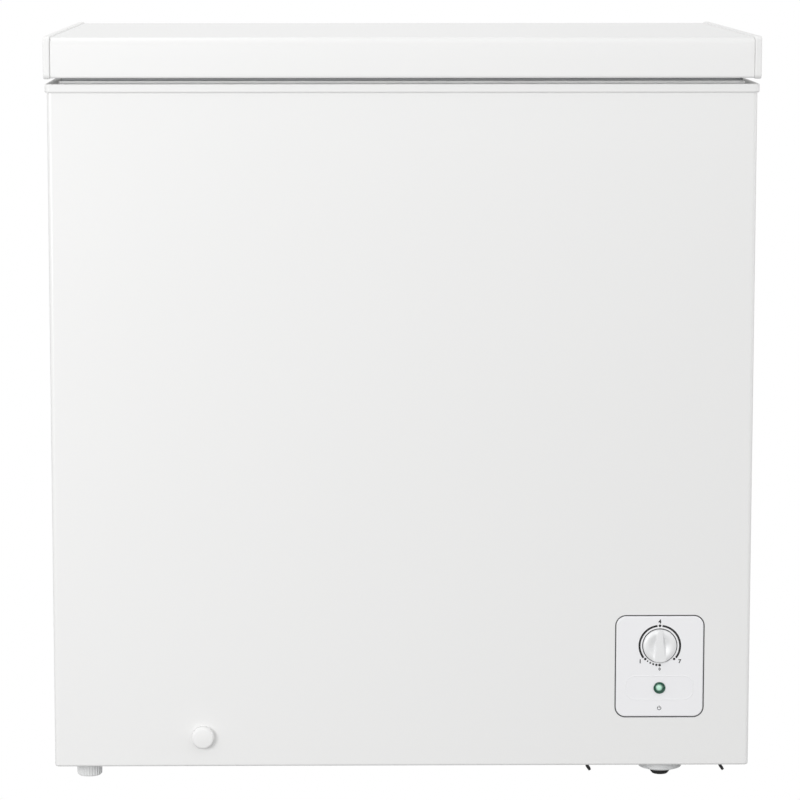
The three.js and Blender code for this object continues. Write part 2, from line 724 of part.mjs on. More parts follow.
// The knob is a disc with a finger scoop on each side of a bar that widens away from its pointer end.
function dialKnob() {
  const back = PANEL_FACE + WELL_DEPTH - GAP;
  const front = BODY_FRONT - KNOB_REACH;
  const depth = back - front;
  const disc = turned([[0, 0], [KNOB_R, 0], [KNOB_R, depth - 1.2], [KNOB_R - 1.2, depth], [0, depth]], 32);
  disc.rotateX(Math.PI / 2).translate(DIAL_X, back, DIAL_Z);
  const scoops = [-1, 1].map((side) => {
    const points = [];
    for (let degrees = 14; degrees <= 150; degrees += 17) {
      const angle = THREE.MathUtils.degToRad(degrees);
      points.push([side * SCOOP_R * Math.sin(angle), SCOOP_R * Math.cos(angle)]);
    }
    if (side > 0) points.reverse();
    const scoop = prism(outline(points), "y", front - CUT, front + SCOOP_DEPTH);
    return scoop.translate(DIAL_X, 0, DIAL_Z);
  });
  const socket = rod(
    "y", [DIAL_X, DIAL_Z], SHAFT_R + GAP, BODY_FRONT - SHAFT_REACH - GAP, back + CUT,
  );
  return cut(disc, ...scoops, socket);
}

function lampLens() {
  const dome = turned([[0, 0], [LENS_R, 0], [LENS_R, 0.8], [5, 2.2], [2.6, 3], [0, 3.2]], 20);
  dome.rotateX(Math.PI / 2).translate(DIAL_X, PANEL_FACE - GAP, LAMP_Z);
  const barrel = rod(
    "y", [DIAL_X, LAMP_Z], LENS_BARREL_R, PANEL_FACE - 1, FLANGE_FACE + 2 * FLANGE_THICK,
  );
  return join(dome, barrel);
}

// ---------------------------------------------------------------- drain

function drainCap() {
  const cap = turned([
    [0, 0], [12.8, 0], [12.8, 5.5], [12, 7.6], [10.2, 8.8], [0, CAP_REACH - GAP],
  ]);
  cap.rotateX(Math.PI / 2).translate(DRAIN_X, BODY_FRONT - GAP, DRAIN_Z);
  return join(cap, rod("y", [DRAIN_X, DRAIN_Z], SPIGOT_R, BODY_FRONT - 1, BODY_FRONT + 14));
}

function drainPlug() {
  const base = TUB_FLOOR + GAP;
  const head = turned([
    [0, base], [11, base], [11, base + 2.5], [4, base + 4], [3.4, base + 12], [0, base + 12.5],
  ]);
  head.translate(DRAIN_X, DRAIN_Y, 0);
  return join(head, rod("z", [DRAIN_X, DRAIN_Y], SPIGOT_R, TUB_FLOOR - 10, base + 1));
}

// ---------------------------------------------------------------- feet

function levellingFoot(x, y) {
  const foot = turned([
    [0, 0], [FOOT_R - 1.6, 0], [FOOT_R, 1.8], [FOOT_R, FOOT_HEIGHT - 2], [FOOT_R - 1.5, FOOT_HEIGHT],
    [STUD_R, FOOT_HEIGHT], [STUD_R, STUD_TOP], [0, STUD_TOP],
  ]);
  return foot.translate(x, y, 0);
}

function footSocket(x, y) {
  const cup = rod("z", [x, y], SOCKET_R, BODY_BOTTOM, SOCKET_TOP);
  return cut(cup, rod("z", [x, y], STUD_R + 0.4, 0, SOCKET_TOP - 6));
}

function footCup(x, y) {
  const top = PAN_BOTTOM - GAP;
  const cup = turned([[0, CUP_BOTTOM], [17, CUP_BOTTOM], [24.8, CUP_BOTTOM + 2.6], [24.8, top], [0, top]]);
  return cup.translate(x, y, 0);
}

function footPad(x, y) {
  const top = CUP_BOTTOM - GAP;
  return turned([[0, 0], [8.5, 0], [11, 2.5], [11, top], [0, top]]).translate(x, y, 0);
}

// ---------------------------------------------------------------- lid

// The lid's section between two heights, as (y, z), drawn in from the skin by a distance.
function lidSection(inward, bottom) {
  const y0 = LID_FRONT + inward;
  const y1 = LID_BACK - inward;
  const top = LID_SKIN_TOP - inward;
  const radius = LID_EDGE - inward;
  const shape = new THREE.Shape();
  shape.moveTo(y0, bottom);
  shape.lineTo(y1, bottom);
  shape.absarc(y1 - radius, top - radius, radius, 0, Math.PI / 2);
  shape.absarc(y0 + radius, top - radius, radius, Math.PI / 2, Math.PI);
  return shape;
}

function lidSkin() {
  const outer = prism(lidSection(0, LID_BOTTOM), "x", -SKIN_SIDE, SKIN_SIDE);
  const hollow = prism(lidSection(SHEET, LID_BOTTOM + SHEET), "x", -LID_SIDE, LID_SIDE);
  const mouth = block(
    -LID_SIDE, LID_SIDE, LID_FRONT + LID_HEM, LID_BACK - LID_HEM, LID_BOTTOM - CUT, LID_BOTTOM + 2,
  );
  return cut(outer, hollow, mouth);
}

function lidCap(side) {
  const profile = roundedRectangle(
    LID_FRONT - CAP_STEP, LID_BACK + CAP_STEP, LID_BOTTOM - CAP_DROP, HEIGHT, CAP_CORNER,
  );
  const inner = SKIN_SIDE + GAP;
  return side > 0
    ? prism(profile, "x", inner, LID_SIDE)
    : prism(profile, "x", -LID_SIDE, -inner);
}

function plugShape(inward) {
  return roundedRectangle(
    -TRIM_SIDE + PLUG_INSET + inward, TRIM_SIDE - PLUG_INSET - inward,
    BODY_FRONT + PLUG_INSET + inward, BODY_BACK - PLUG_INSET - inward, PLUG_CORNER,
  );
}

function lidInnerPanel() {
  const top = LID_PANEL_BOTTOM + LID_PANEL;
  const flange = block(
    -PACKING_SIDE, PACKING_SIDE, LID_FRONT + SHEET + GAP, LID_BACK - SHEET - GAP, LID_PANEL_BOTTOM, top,
  );
  const plug = prism(plugShape(0), "z", PLUG_BOTTOM, top);
  return cut(join(flange, plug), prism(plugShape(LID_PANEL), "z", PLUG_BOTTOM + LID_PANEL, top + 1));
}

function lidFoam() {
  const bottom = LID_PANEL_BOTTOM + LID_PANEL + GAP;
  const slab = prism(lidSection(SHEET + GAP, bottom), "x", -PACKING_SIDE, PACKING_SIDE);
  const plug = prism(plugShape(LID_PANEL + GAP), "z", PLUG_BOTTOM + LID_PANEL + GAP, bottom + 1);
  return join(slab, plug);
}

function lidSeal() {
  const low = TRIM_TOP + GAP;
  const high = LID_PANEL_BOTTOM - GAP;
  const [outer, inner] = SEAL_INSET;
  return rimRing(TRIM_SIDE, BODY_FRONT - TRIM_LIP, BODY_BACK + TRIM_LIP, [
    [outer, low, SEAL_CORNER],
    [outer, high, SEAL_CORNER],
    [inner, high, SEAL_CORNER],
    [inner, low, SEAL_CORNER],
  ]);
}

// ---------------------------------------------------------------- hinges

const hingeBore = (x) => rod("x", [HINGE_Y, HINGE_Z], PIN_R + GAP, x - 30, x + 30, 16);

function hingeBase(x) {
  const { half, bottom, top, thick } = BASE_PLATE;
  const face = BODY_BACK + GAP;
  const plate = block(x - half, x + half, face, face + thick, bottom, top);
  const shape = outline([
    [face, 745], [HINGE_Y + KNUCKLE_R, 785], [HINGE_Y + KNUCKLE_R, HINGE_Z],
    [HINGE_Y - KNUCKLE_R, HINGE_Z], [HINGE_Y - KNUCKLE_R, 791], [face + 4, top], [face, top],
  ]);
  const ear = (from, to) =>
    join(prism(shape, "x", from, to), rod("x", [HINGE_Y, HINGE_Z], KNUCKLE_R, from, to, 16));
  const solid = join(plate, ear(x - EAR.outer, x - EAR.inner), ear(x + EAR.inner, x + EAR.outer));
  return cut(solid, hingeBore(x));
}

function hingeLeaf(x) {
  const face = LID_BACK + CAP_STEP + GAP;
  const half = EAR.inner - 2;
  const plate = block(x - half, x + half, face, face + LEAF_THICK, LID_BOTTOM, HEIGHT - 6);
  const neck = block(x - half, x + 2, face, face + LEAF_THICK, HINGE_Z, LID_BOTTOM + 1);
  const knuckle = rod("x", [HINGE_Y, HINGE_Z], KNUCKLE_R, x - half, x + 2, 16);
  return cut(join(plate, neck, knuckle), hingeBore(x));
}

function hingePin(x) {
  const end = EAR.outer + 2;
  const shank = rod("x", [HINGE_Y, HINGE_Z], PIN_R, x - end, x + end, 16);
  const head = rod("x", [HINGE_Y, HINGE_Z], PIN_HEAD_R, x - end - 1, x - EAR.outer - GAP, 16);
  return join(shank, head);
}

// The lid spring is a short coil round the pin.
function hingeSpring(x) {
  const { wire, radius, turns, perTurn, pitch, first } = SPRING;
  const points = Array.from({ length: turns * perTurn + 1 }, (_, i) => {
    const angle = (2 * Math.PI * i) / perTurn;
    return new THREE.Vector3(
      x + first + (pitch * i) / perTurn,
      HINGE_Y + radius * Math.cos(angle),
      HINGE_Z + radius * Math.sin(angle),
    );
  });
  return tube(points, wire, 4);
}

// ---------------------------------------------------------------- basket

function storageBasket() {
  const front = TUB_FRONT + BASKET_CLEAR;
  const back = TUB_BACK - BASKET_CLEAR;
  const x0 = BASKET_X - BASKET_WIDTH / 2;
  const x1 = BASKET_X + BASKET_WIDTH / 2;
  const top = LEDGE_TOP + RIM_RISE;
  const shell = (inward) =>
    roundedRectangle(x0 + inward, x1 - inward, front + inward, back - inward, BASKET_CORNER - inward);
  const outer = prism(shell(0), "z", BASKET_BOTTOM, top);
  const inner = prism(shell(BASKET_WALL), "z", BASKET_BOTTOM + BASKET_WALL, HEIGHT);
  const hanger = (y0, y1) =>
    block(BASKET_X - HANGER_HALF, BASKET_X + HANGER_HALF, y0, y1, LEDGE_TOP + GAP, top);
  const frontLedge = BODY_FRONT - TRIM_LIP + SKIRT_INSET;
  const backLedge = BODY_BACK + TRIM_LIP - SKIRT_INSET;
  const hangers = [
    hanger(frontLedge - HANGER_REACH, front + 1), hanger(back - 1, backLedge + HANGER_REACH),
  ];
  return cut(join(outer, ...hangers), inner);
}

// ---------------------------------------------------------------- assembly

add("cabinet_wrap", cabinetWrap(), WHITE_ENAMEL);
add("back_panel", backPanel(), GALVANISED);
add("bottom_pan", bottomPan(), GALVANISED);
add("machine_bulkhead", machineBulkhead(), GALVANISED);
add("cabinet_foam", cabinetFoam(), FOAM);
add("inner_liner", innerLiner(), LINER_WHITE);
add("rim_trim", rimTrim(), WHITE_PLASTIC);
add("evaporator_coil", tube(EVAPORATOR, PIPE_R), COPPER);
add("condenser_coil", tube(CONDENSER, PIPE_R), COPPER);

add("compressor_base", compressorBase(), BLACK_ENAMEL);
add("compressor_shell", compressorShell(), BLACK_ENAMEL);
for (const [side, sx] of [["left", -1], ["right", 1]]) {
  for (const [end, sy] of [["front", -1], ["back", 1]]) {
    const place = [MACHINE_X + sx * BOLT_X, MACHINE_Y + sy * BOLT_Y];
    const grommet = rod("z", place, GROMMET_R, BASE_TOP + GAP, GROMMET_TOP, 12);
    add(`compressor_grommet_${end}_${side}`, grommet, RUBBER);
  }
}
add(
  "relay_cover",
  block(MACHINE_X + 69, MACHINE_X + 95, MACHINE_Y - 25, MACHINE_Y + 25, 90, 145),
  DARK_PLASTIC,
);
add("suction_pipe", tube(SUCTION, PIPE_R), COPPER);
add("discharge_pipe", tube(DISCHARGE, PIPE_R), COPPER);
add("filter_drier", rod("z", [MACHINE_LEFT + 16, MACHINE_Y - 110], 9, 60, 160, 16), COPPER);
add("rear_cover", coverWithLouvres(), GALVANISED);
add("cord_gland", cordGland(), DARK_PLASTIC);
add("side_vent", sideVent(), WHITE_PLASTIC);

add("control_panel", controlPanel(), PALE_PLASTIC);
add(
  "thermostat",
  block(
    DIAL_X - THERMOSTAT.half, DIAL_X + THERMOSTAT.half,
    THERMOSTAT_FACE, THERMOSTAT_FACE + THERMOSTAT.depth,
    DIAL_Z - THERMOSTAT.height, DIAL_Z + THERMOSTAT.height,
  ),
  DARK_PLASTIC,
);
add("thermostat_capillary", tube(CAPILLARY, SENSOR_R), COPPER);
add(
  "thermostat_shaft",
  rod("y", [DIAL_X, DIAL_Z], SHAFT_R, BODY_FRONT - SHAFT_REACH, THERMOSTAT_FACE - GAP, 16),
  STEEL,
);
add("dial_knob", dialKnob(), SILVER_PLASTIC);
add("lamp_lens", lampLens(), GREEN_LENS);
add(
  "lamp_holder",
  rod("y", [DIAL_X, LAMP_Z], 8, FLANGE_FACE + 2 * FLANGE_THICK + GAP, FLANGE_FACE + 26, 16),
  DARK_PLASTIC,
);

add("drain_tube", tube(DRAIN_ROUTE, DRAIN_R, 12, DRAIN_BORE), WHITE_PLASTIC);
add("drain_cap", drainCap(), WHITE_PLASTIC);
add("drain_plug", drainPlug(), WHITE_PLASTIC);

for (const [end, y] of [["front", FOOT_FRONT_Y], ["back", FOOT_BACK_Y]]) {
  add(`foot_${end}_left`, levellingFoot(-FOOT_X, y), GREY_PLASTIC);
  add(`foot_socket_${end}_left`, footSocket(-FOOT_X, y), DARK_PLASTIC);
  add(`foot_cup_${end}_right`, footCup(CUP_X, y), GALVANISED);
  add(`foot_pad_${end}_right`, footPad(CUP_X, y), RUBBER);
}

add("lid_skin", lidSkin(), WHITE_ENAMEL);
add("lid_cap_left", lidCap(-1), WHITE_PLASTIC);
add("lid_cap_right", lidCap(1), WHITE_PLASTIC);
add("lid_inner_panel", lidInnerPanel(), LINER_WHITE);
add("lid_foam", lidFoam(), FOAM);
add("lid_seal", lidSeal(), SEAL);

for (const [side, x] of [["left", -HINGE_X], ["right", HINGE_X]]) {
  add(`hinge_base_${side}`, hingeBase(x), STEEL);
  add(`hinge_leaf_${side}`, hingeLeaf(x), STEEL);
  add(`hinge_pin_${side}`, hingePin(x), STEEL);
  add(`hinge_spring_${side}`, hingeSpring(x), STEEL);
}

add("storage_basket", storageBasket(), COATED_WIRE);

export default freezer;
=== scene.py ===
"""Chest freezer: the finished surfaces of every part, built round the fixed frame that it is packed in."""

import json
import math

import bmesh
import bpy
from bpy.props import FloatProperty, FloatVectorProperty, IntProperty, PointerProperty
from mathutils import Matrix, Vector


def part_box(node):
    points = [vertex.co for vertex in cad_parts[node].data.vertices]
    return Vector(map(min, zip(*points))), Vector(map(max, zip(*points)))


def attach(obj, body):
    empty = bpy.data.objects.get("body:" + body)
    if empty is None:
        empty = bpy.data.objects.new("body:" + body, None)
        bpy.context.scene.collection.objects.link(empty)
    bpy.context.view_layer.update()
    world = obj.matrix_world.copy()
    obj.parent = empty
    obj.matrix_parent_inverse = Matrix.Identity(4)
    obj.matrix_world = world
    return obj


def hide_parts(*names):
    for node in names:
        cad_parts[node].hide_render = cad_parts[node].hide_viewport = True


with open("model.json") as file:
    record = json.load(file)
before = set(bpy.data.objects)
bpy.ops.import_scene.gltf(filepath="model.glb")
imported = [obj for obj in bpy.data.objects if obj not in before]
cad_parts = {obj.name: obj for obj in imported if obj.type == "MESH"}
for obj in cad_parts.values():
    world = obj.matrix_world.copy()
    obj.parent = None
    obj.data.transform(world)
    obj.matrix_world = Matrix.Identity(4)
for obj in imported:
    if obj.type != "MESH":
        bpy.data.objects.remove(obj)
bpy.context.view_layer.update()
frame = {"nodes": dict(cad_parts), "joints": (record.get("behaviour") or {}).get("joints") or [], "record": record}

bl_info = {
    "name": "Chest Freezer",
    "version": (1, 0, 0),
    "blender": (4, 5, 0),
    "location": "3D View > Sidebar > Freezer",
    "description": "Builds the finished surfaces of a chest freezer round its frame",
    "category": "Object",
}

TAU = 2 * math.pi
BODY_OF = {node: body for body, nodes in frame["record"]["behaviour"]["bodies"].items() for node in nodes}
JOINT = {joint["name"]: joint for joint in frame["joints"]}


# ---------------------------------------------------------------- sizes and colours that a user may change


def length(name, description, default, low=0.0, high=1.0):
    return FloatProperty(
        name=name, description=description, default=default, min=low, max=high,
        unit="LENGTH", subtype="DISTANCE", precision=4,
    )


def colour(name, description, default):
    return FloatVectorProperty(
        name=name, description=description, default=default, size=3, min=0.0, max=1.0, subtype="COLOR",
    )


class CabinetSettings(bpy.types.PropertyGroup):
    """The painted body, its rim trim and its tub."""

    enamel: colour("Enamel", "Colour of the painted steel", (0.86, 0.86, 0.855))
    plastic: colour("Plastic", "Colour of the white mouldings", (0.86, 0.86, 0.855))
    bend: length("Sheet bend", "Outer radius of the bends along the front corners", 0.005)
    hem: length("Bottom bend", "Outer radius of the bend along the bottom edge", 0.0026)
    sheet: length("Sheet", "Thickness of the painted steel", 0.0008)
    flange: length("Flange", "Width of the inward flanges", 0.014)
    tub_corner: length("Tub corner", "Radius of the tub's upright corners", 0.020)
    tub_fillet: length("Tub fillet", "Radius between the tub's floor and walls", 0.012)
    tub_step: length("Step edge", "Radius along the edge of the tub's step, over the foam's corner", 0.0032)


class LidSettings(bpy.types.PropertyGroup):
    """The lid's outer skin, end caps, seal and inner panel."""

    edge: length("Long edges", "Radius of the skin's top edges", 0.009)
    cap_edge: length("Cap edges", "Rounding of the end caps", 0.0016)
    seal_colour: colour("Seal", "Colour of the soft seal", (0.36, 0.37, 0.38))


class DialSettings(bpy.types.PropertyGroup):
    """The control panel and its dial."""

    face: colour("Panel", "Colour of the control panel", (0.90, 0.90, 0.915))
    knob: colour("Knob", "Colour of the dial knob", (0.86, 0.865, 0.87))
    ink: colour("Ink", "Colour of the printed marks", (0.012, 0.012, 0.013))
    lens: colour("Lens", "Colour of the lamp's rim", (0.010, 0.085, 0.050))
    # glow: colour of the painted highlight and glow in the middle of the lamp lens
    glow: colour("Glow", "Colour of the lamp's middle", (0.56, 0.90, 0.72))
    scale_radius: length("Scale radius", "Radius of the printed scale", 0.0231)
    scale_line: length("Scale line", "Width of the printed scale", 0.0023)
    sweep: FloatProperty(
        name="Sweep", description="Angle from the middle mark to either end mark",
        default=math.radians(JOINT["dial_turn"]["range_deg"][1]), subtype="ANGLE", unit="ROTATION",
    )


class BasketSettings(bpy.types.PropertyGroup):
    """The wire storage basket."""

    wire: length("Wire", "Radius of the mesh wires", 0.0012)
    rim: length("Rim wire", "Radius of the rim and hanger wires", 0.0024)
    across: IntProperty(name="Wires across", description="Wires along the basket's short side", default=9)
    along: IntProperty(name="Wires along", description="Wires along the basket's long side", default=15)
    rings: IntProperty(name="Rings", description="Level wires round the basket", default=3)


class MachineSettings(bpy.types.PropertyGroup):
    """The compressor compartment and its covers."""

    louvre_rows: IntProperty(name="Louvre rows", description="Rows of louvres on the rear cover", default=9)
    screw: length("Screw", "Radius of the sheet screws' heads", 0.0038)
    foot_ribs: IntProperty(name="Foot ribs", description="Ribs round a levelling foot", default=28)


class StageSettings(bpy.types.PropertyGroup):
    """The camera, the lights and the floor."""

    lens: FloatProperty(
        name="Lens", description="Focal length on a 36 mm sensor, in millimetres", default=157.7,
    )
    camera_across: length("Camera across", "Camera to the right of the middle", -0.076, -10, 10)
    camera_back: length("Camera distance", "Camera in front of the body", 3.910, 0, 20)
    camera_up: length("Camera height", "Camera above the floor", 0.978, 0, 10)
    slide: FloatProperty(name="Slide", description="Sideways lens shift, in frame widths", default=0.031)
    turn: FloatProperty(
        name="Turn", description="Camera turn to the right", default=math.radians(0.666), subtype="ANGLE",
    )
    tilt: FloatProperty(
        name="Tilt", description="Camera tilt downwards", default=math.radians(7.805), subtype="ANGLE",
    )
    level: FloatProperty(
        name="Level", description="Camera roll", default=math.radians(-0.010), subtype="ANGLE",
    )
    key: FloatProperty(name="Key", description="Power of the left softbox", default=27.0, unit="POWER")
    fill: FloatProperty(name="Fill", description="Power of the front softbox", default=19.0, unit="POWER")
    top: FloatProperty(name="Top", description="Power of the softbox over the lid", default=2.6, unit="POWER")
    back: FloatProperty(name="Back", description="Power of the softbox behind", default=2.6, unit="POWER")
    side: FloatProperty(name="Side", description="Power of the right softbox", default=1.5, unit="POWER")
    rim: FloatProperty(name="Rim", description="Power of the light along the right side", default=11.0,
                       unit="POWER")
    ambient: FloatProperty(name="Ambient", description="Strength of the light all round", default=0.83)
    bounce: FloatProperty(name="Bounce", description="Strength of the light off the floor", default=0.38)


SETTINGS = {
    "cabinet": CabinetSettings,
    "lid": LidSettings,
    "dial": DialSettings,
    "basket": BasketSettings,
    "machine": MachineSettings,
    "stage": StageSettings,
}


def settings(group):
    return getattr(bpy.context.scene, "freezer_" + group)


# ---------------------------------------------------------------- materials


def surface(name, base, roughness, metallic=0.0, tone=0.02, tone_size=0.12, grain=0.0, grain_size=0.001,
            roughness_shift=0.06, coat=0.0):
    """A surface whose tone and gloss wander a little over tone_size, with a fine relief of grain metres."""
    material = bpy.data.materials.new(name)
    material.use_nodes = True
    tree = material.node_tree
    shader = tree.nodes["Principled BSDF"]
    shader.inputs["Metallic"].default_value = metallic
    shader.inputs["Coat Weight"].default_value = coat
    shader.inputs["Coat Roughness"].default_value = 0.14
    place = tree.nodes.new("ShaderNodeTexCoord")

    wander = tree.nodes.new("ShaderNodeTexNoise")
    wander.inputs["Scale"].default_value = 1 / tone_size
    wander.inputs["Detail"].default_value = 3
    tree.links.new(place.outputs["Object"], wander.inputs["Vector"])

    shade = tree.nodes.new("ShaderNodeMix")
    shade.data_type = "RGBA"
    shade.inputs[6].default_value = (*[c * (1 - tone) for c in base], 1)
    shade.inputs[7].default_value = (*[min(1, c * (1 + tone)) for c in base], 1)
    tree.links.new(wander.outputs["Fac"], shade.inputs[0])
    tree.links.new(shade.outputs[2], shader.inputs["Base Color"])

    gloss = tree.nodes.new("ShaderNodeMapRange")
    gloss.inputs["To Min"].default_value = max(0.02, roughness - roughness_shift)
    gloss.inputs["To Max"].default_value = min(1, roughness + roughness_shift)
    tree.links.new(wander.outputs["Fac"], gloss.inputs["Value"])
    tree.links.new(gloss.outputs["Result"], shader.inputs["Roughness"])

    if grain:
        fine = tree.nodes.new("ShaderNodeTexNoise")
        fine.inputs["Scale"].default_value = 1 / grain_size
        fine.inputs["Detail"].default_value = 2
        tree.links.new(place.outputs["Object"], fine.inputs["Vector"])
        relief(tree, shader, fine.outputs["Fac"], grain)
    return material


def relief(tree, shader, height, depth, strength=1.0):
    """Turns a height from 0 to 1 into a relief of depth metres on a shader."""
    bump = tree.nodes.new("ShaderNodeBump")
    bump.inputs["Strength"].default_value = strength
    bump.inputs["Distance"].default_value = depth
    tree.links.new(height, bump.inputs["Height"])
    tree.links.new(bump.outputs["Normal"], shader.inputs["Normal"])


def cells(tree, place, size, feature="F1"):
    pattern = tree.nodes.new("ShaderNodeTexVoronoi")
    pattern.feature = feature
    pattern.inputs["Scale"].default_value = 1 / size
    tree.links.new(place.outputs["Object"], pattern.inputs["Vector"])
    return pattern


def white_enamel():
    """Baked enamel: satin, with the faint orange peel of sprayed sheet."""
    return surface("white_enamel", settings("cabinet").enamel, 0.34, tone=0.006, tone_size=0.5,
                   grain=0.000006, grain_size=0.0022, roughness_shift=0.03, coat=0.35)


def white_moulding():
    """Injection-moulded plastic with a fine spark-eroded grain."""
    return surface("white_moulding", settings("cabinet").plastic, 0.42, tone=0.006, tone_size=0.4,
                   grain=0.000008, grain_size=0.0005, roughness_shift=0.03)


def panel_plastic():
    return surface("panel_plastic", settings("dial").face, 0.30, tone=0.008, tone_size=0.06,
                   grain=0.000004, grain_size=0.0004, roughness_shift=0.03)


def knob_plastic():
    """Silvery satin plastic, a little brighter where it catches the light."""
    return surface("knob_plastic", settings("dial").knob, 0.46, metallic=0.15, tone=0.01, tone_size=0.02,
                   grain=0.000003, grain_size=0.0003, roughness_shift=0.04)


def printed_ink():
    return surface("printed_ink", settings("dial").ink, 0.5, tone=0.2, tone_size=0.002)


def grey_plastic():
    return surface("grey_plastic", (0.86, 0.865, 0.865), 0.5, tone=0.02, tone_size=0.02,
                   grain=0.00001, grain_size=0.0006)


def dark_plastic():
    return surface("dark_plastic", (0.022, 0.022, 0.024), 0.45, tone=0.15, tone_size=0.02,
                   grain=0.00001, grain_size=0.0007)


def black_rubber():
    return surface("black_rubber", (0.012, 0.012, 0.012), 0.8, tone=0.25, tone_size=0.006,
                   grain=0.00004, grain_size=0.0009)


def gasket_rubber():
    """A dark grey strip in the gap round the control panel: painted shade of the gap."""
    return surface("gasket_rubber", (0.085, 0.085, 0.09), 0.7, tone=0.1, tone_size=0.01,
                   grain=0.00002, grain_size=0.0009)


def seal_rubber():
    return surface("seal_rubber", settings("lid").seal_colour, 0.6, tone=0.02, tone_size=0.03,
                   grain=0.00001, grain_size=0.0008)


def black_enamel():
    """Thick black dip paint with a soft ripple."""
    return surface("black_enamel", (0.010, 0.010, 0.011), 0.32, tone=0.2, tone_size=0.03,
                   grain=0.00012, grain_size=0.006, coat=0.2)


def insulating_foam():
    material = surface("insulating_foam", (0.80, 0.68, 0.38), 0.9, tone=0.12, tone_size=0.01)
    tree = material.node_tree
    pores = cells(tree, tree.nodes["Texture Coordinate"], 0.0018)
    relief(tree, tree.nodes["Principled BSDF"], pores.outputs["Distance"], 0.0006)
    return material


def copper_tube():
    return surface("copper_tube", (0.70, 0.31, 0.17), 0.32, metallic=1.0, tone=0.22, tone_size=0.02,
                   grain=0.00001, grain_size=0.0012, roughness_shift=0.12)


def zinc_steel():
    """Plain zinc-plated steel of the hinges, pins and screws."""
    return surface("zinc_steel", (0.60, 0.61, 0.62), 0.34, metallic=1.0, tone=0.10, tone_size=0.008,
                   grain=0.000008, grain_size=0.0009, roughness_shift=0.10)


def bright_zinc():
    """The pale, dull zinc of small pressed supports."""
    return surface("bright_zinc", (0.86, 0.87, 0.875), 0.55, metallic=0.2, tone=0.04, tone_size=0.01,
                   grain=0.00001, grain_size=0.0012)


def galvanised_sheet():
    """Hot-dipped sheet: each crystal of the zinc has its own tone and gloss."""
    material = surface("galvanised_sheet", (0.55, 0.57, 0.58), 0.42, metallic=0.85, tone=0.05, tone_size=0.2)
    tree = material.node_tree
    shader = tree.nodes["Principled BSDF"]
    spangle = cells(tree, tree.nodes["Texture Coordinate"], 0.011)
    tint = tree.nodes.new("ShaderNodeMapRange")
    tint.inputs["To Min"].default_value = 0.34
    tint.inputs["To Max"].default_value = 0.54
    tree.links.new(spangle.outputs["Color"], tint.inputs["Value"])
    tree.links.new(tint.outputs["Result"], shader.inputs["Roughness"])
    shade = tree.nodes["Mix"]
    tone = tree.nodes.new("ShaderNodeMix")
    tone.data_type = "RGBA"
    tone.blend_type = "MULTIPLY"
    tone.inputs[0].default_value = 0.10
    tree.links.new(shade.outputs[2], tone.inputs[6])
    tree.links.new(spangle.outputs["Color"], tone.inputs[7])
    tree.links.new(tone.outputs[2], shader.inputs["Base Color"])
    return material


def stucco_liner():
    """White coated liner sheet, rolled with a stucco pattern."""
    material = surface("stucco_liner", (0.82, 0.83, 0.835), 0.36, tone=0.01, tone_size=0.3)
    tree = material.node_tree
    pattern = cells(tree, tree.nodes["Texture Coordinate"], 0.0045, "SMOOTH_F1")
    relief(tree, tree.nodes["Principled BSDF"], pattern.outputs["Distance"], 0.0005, 0.6)
    return material


def coated_wire():
    return surface("coated_wire", (0.84, 0.84, 0.835), 0.38, tone=0.01, tone_size=0.02,
                   grain=0.00003, grain_size=0.003)


def lamp_lens_green():
    """The lens is deep green at its rim, with a painted highlight and glow: a pale spot a little up and left of
    its middle.
    """
    material = surface("lamp_lens_green", settings("dial").lens, 0.12, tone=0.1, tone_size=0.004, coat=0.6)
    tree = material.node_tree
    shader = tree.nodes["Principled BSDF"]
    low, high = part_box("lamp_lens")
    centre = (low + high) / 2
    place = tree.nodes["Texture Coordinate"]
    # Painted highlight: its centre sits 0.6 mm left of and 0.7 mm above the lens's middle.
    middle = tree.nodes.new("ShaderNodeMapping")
    middle.inputs["Location"].default_value = (-centre.x + 0.0006, 0, -centre.z - 0.0007)
    middle.inputs["Scale"].default_value = (1, 0, 1)
    tree.links.new(place.outputs["Object"], middle.inputs["Vector"])
    distance = tree.nodes.new("ShaderNodeVectorMath")
    distance.operation = "LENGTH"
    tree.links.new(middle.outputs["Vector"], distance.inputs[0])
    painted_highlight_fade = tree.nodes.new("ShaderNodeMapRange")
    painted_highlight_fade.interpolation_type = "SMOOTHSTEP"
    painted_highlight_fade.inputs["From Min"].default_value = 0.0018
    painted_highlight_fade.inputs["From Max"].default_value = 0.0046
    painted_highlight_fade.inputs["To Min"].default_value = 1
    painted_highlight_fade.inputs["To Max"].default_value = 0
    tree.links.new(distance.outputs["Value"], painted_highlight_fade.inputs["Value"])
    painted_highlight_mix = tree.nodes.new("ShaderNodeMix")
    painted_highlight_mix.data_type = "RGBA"
    # The pale colour of the painted highlight, strongest at its centre.
    painted_highlight_mix.inputs[7].default_value = (*settings("dial").glow, 1)
    tree.links.new(tree.nodes["Mix"].outputs[2], painted_highlight_mix.inputs[6])
    tree.links.new(painted_highlight_fade.outputs["Result"], painted_highlight_mix.inputs[0])
    tree.links.new(painted_highlight_mix.outputs[2], shader.inputs["Base Color"])
    return material


def made_once(maker, made={}):
    """The material that a maker gives, made the first time it is asked for."""
    if maker.__name__ not in made:
        made[maker.__name__] = maker()
    return made[maker.__name__]


# ---------------------------------------------------------------- mesh tools


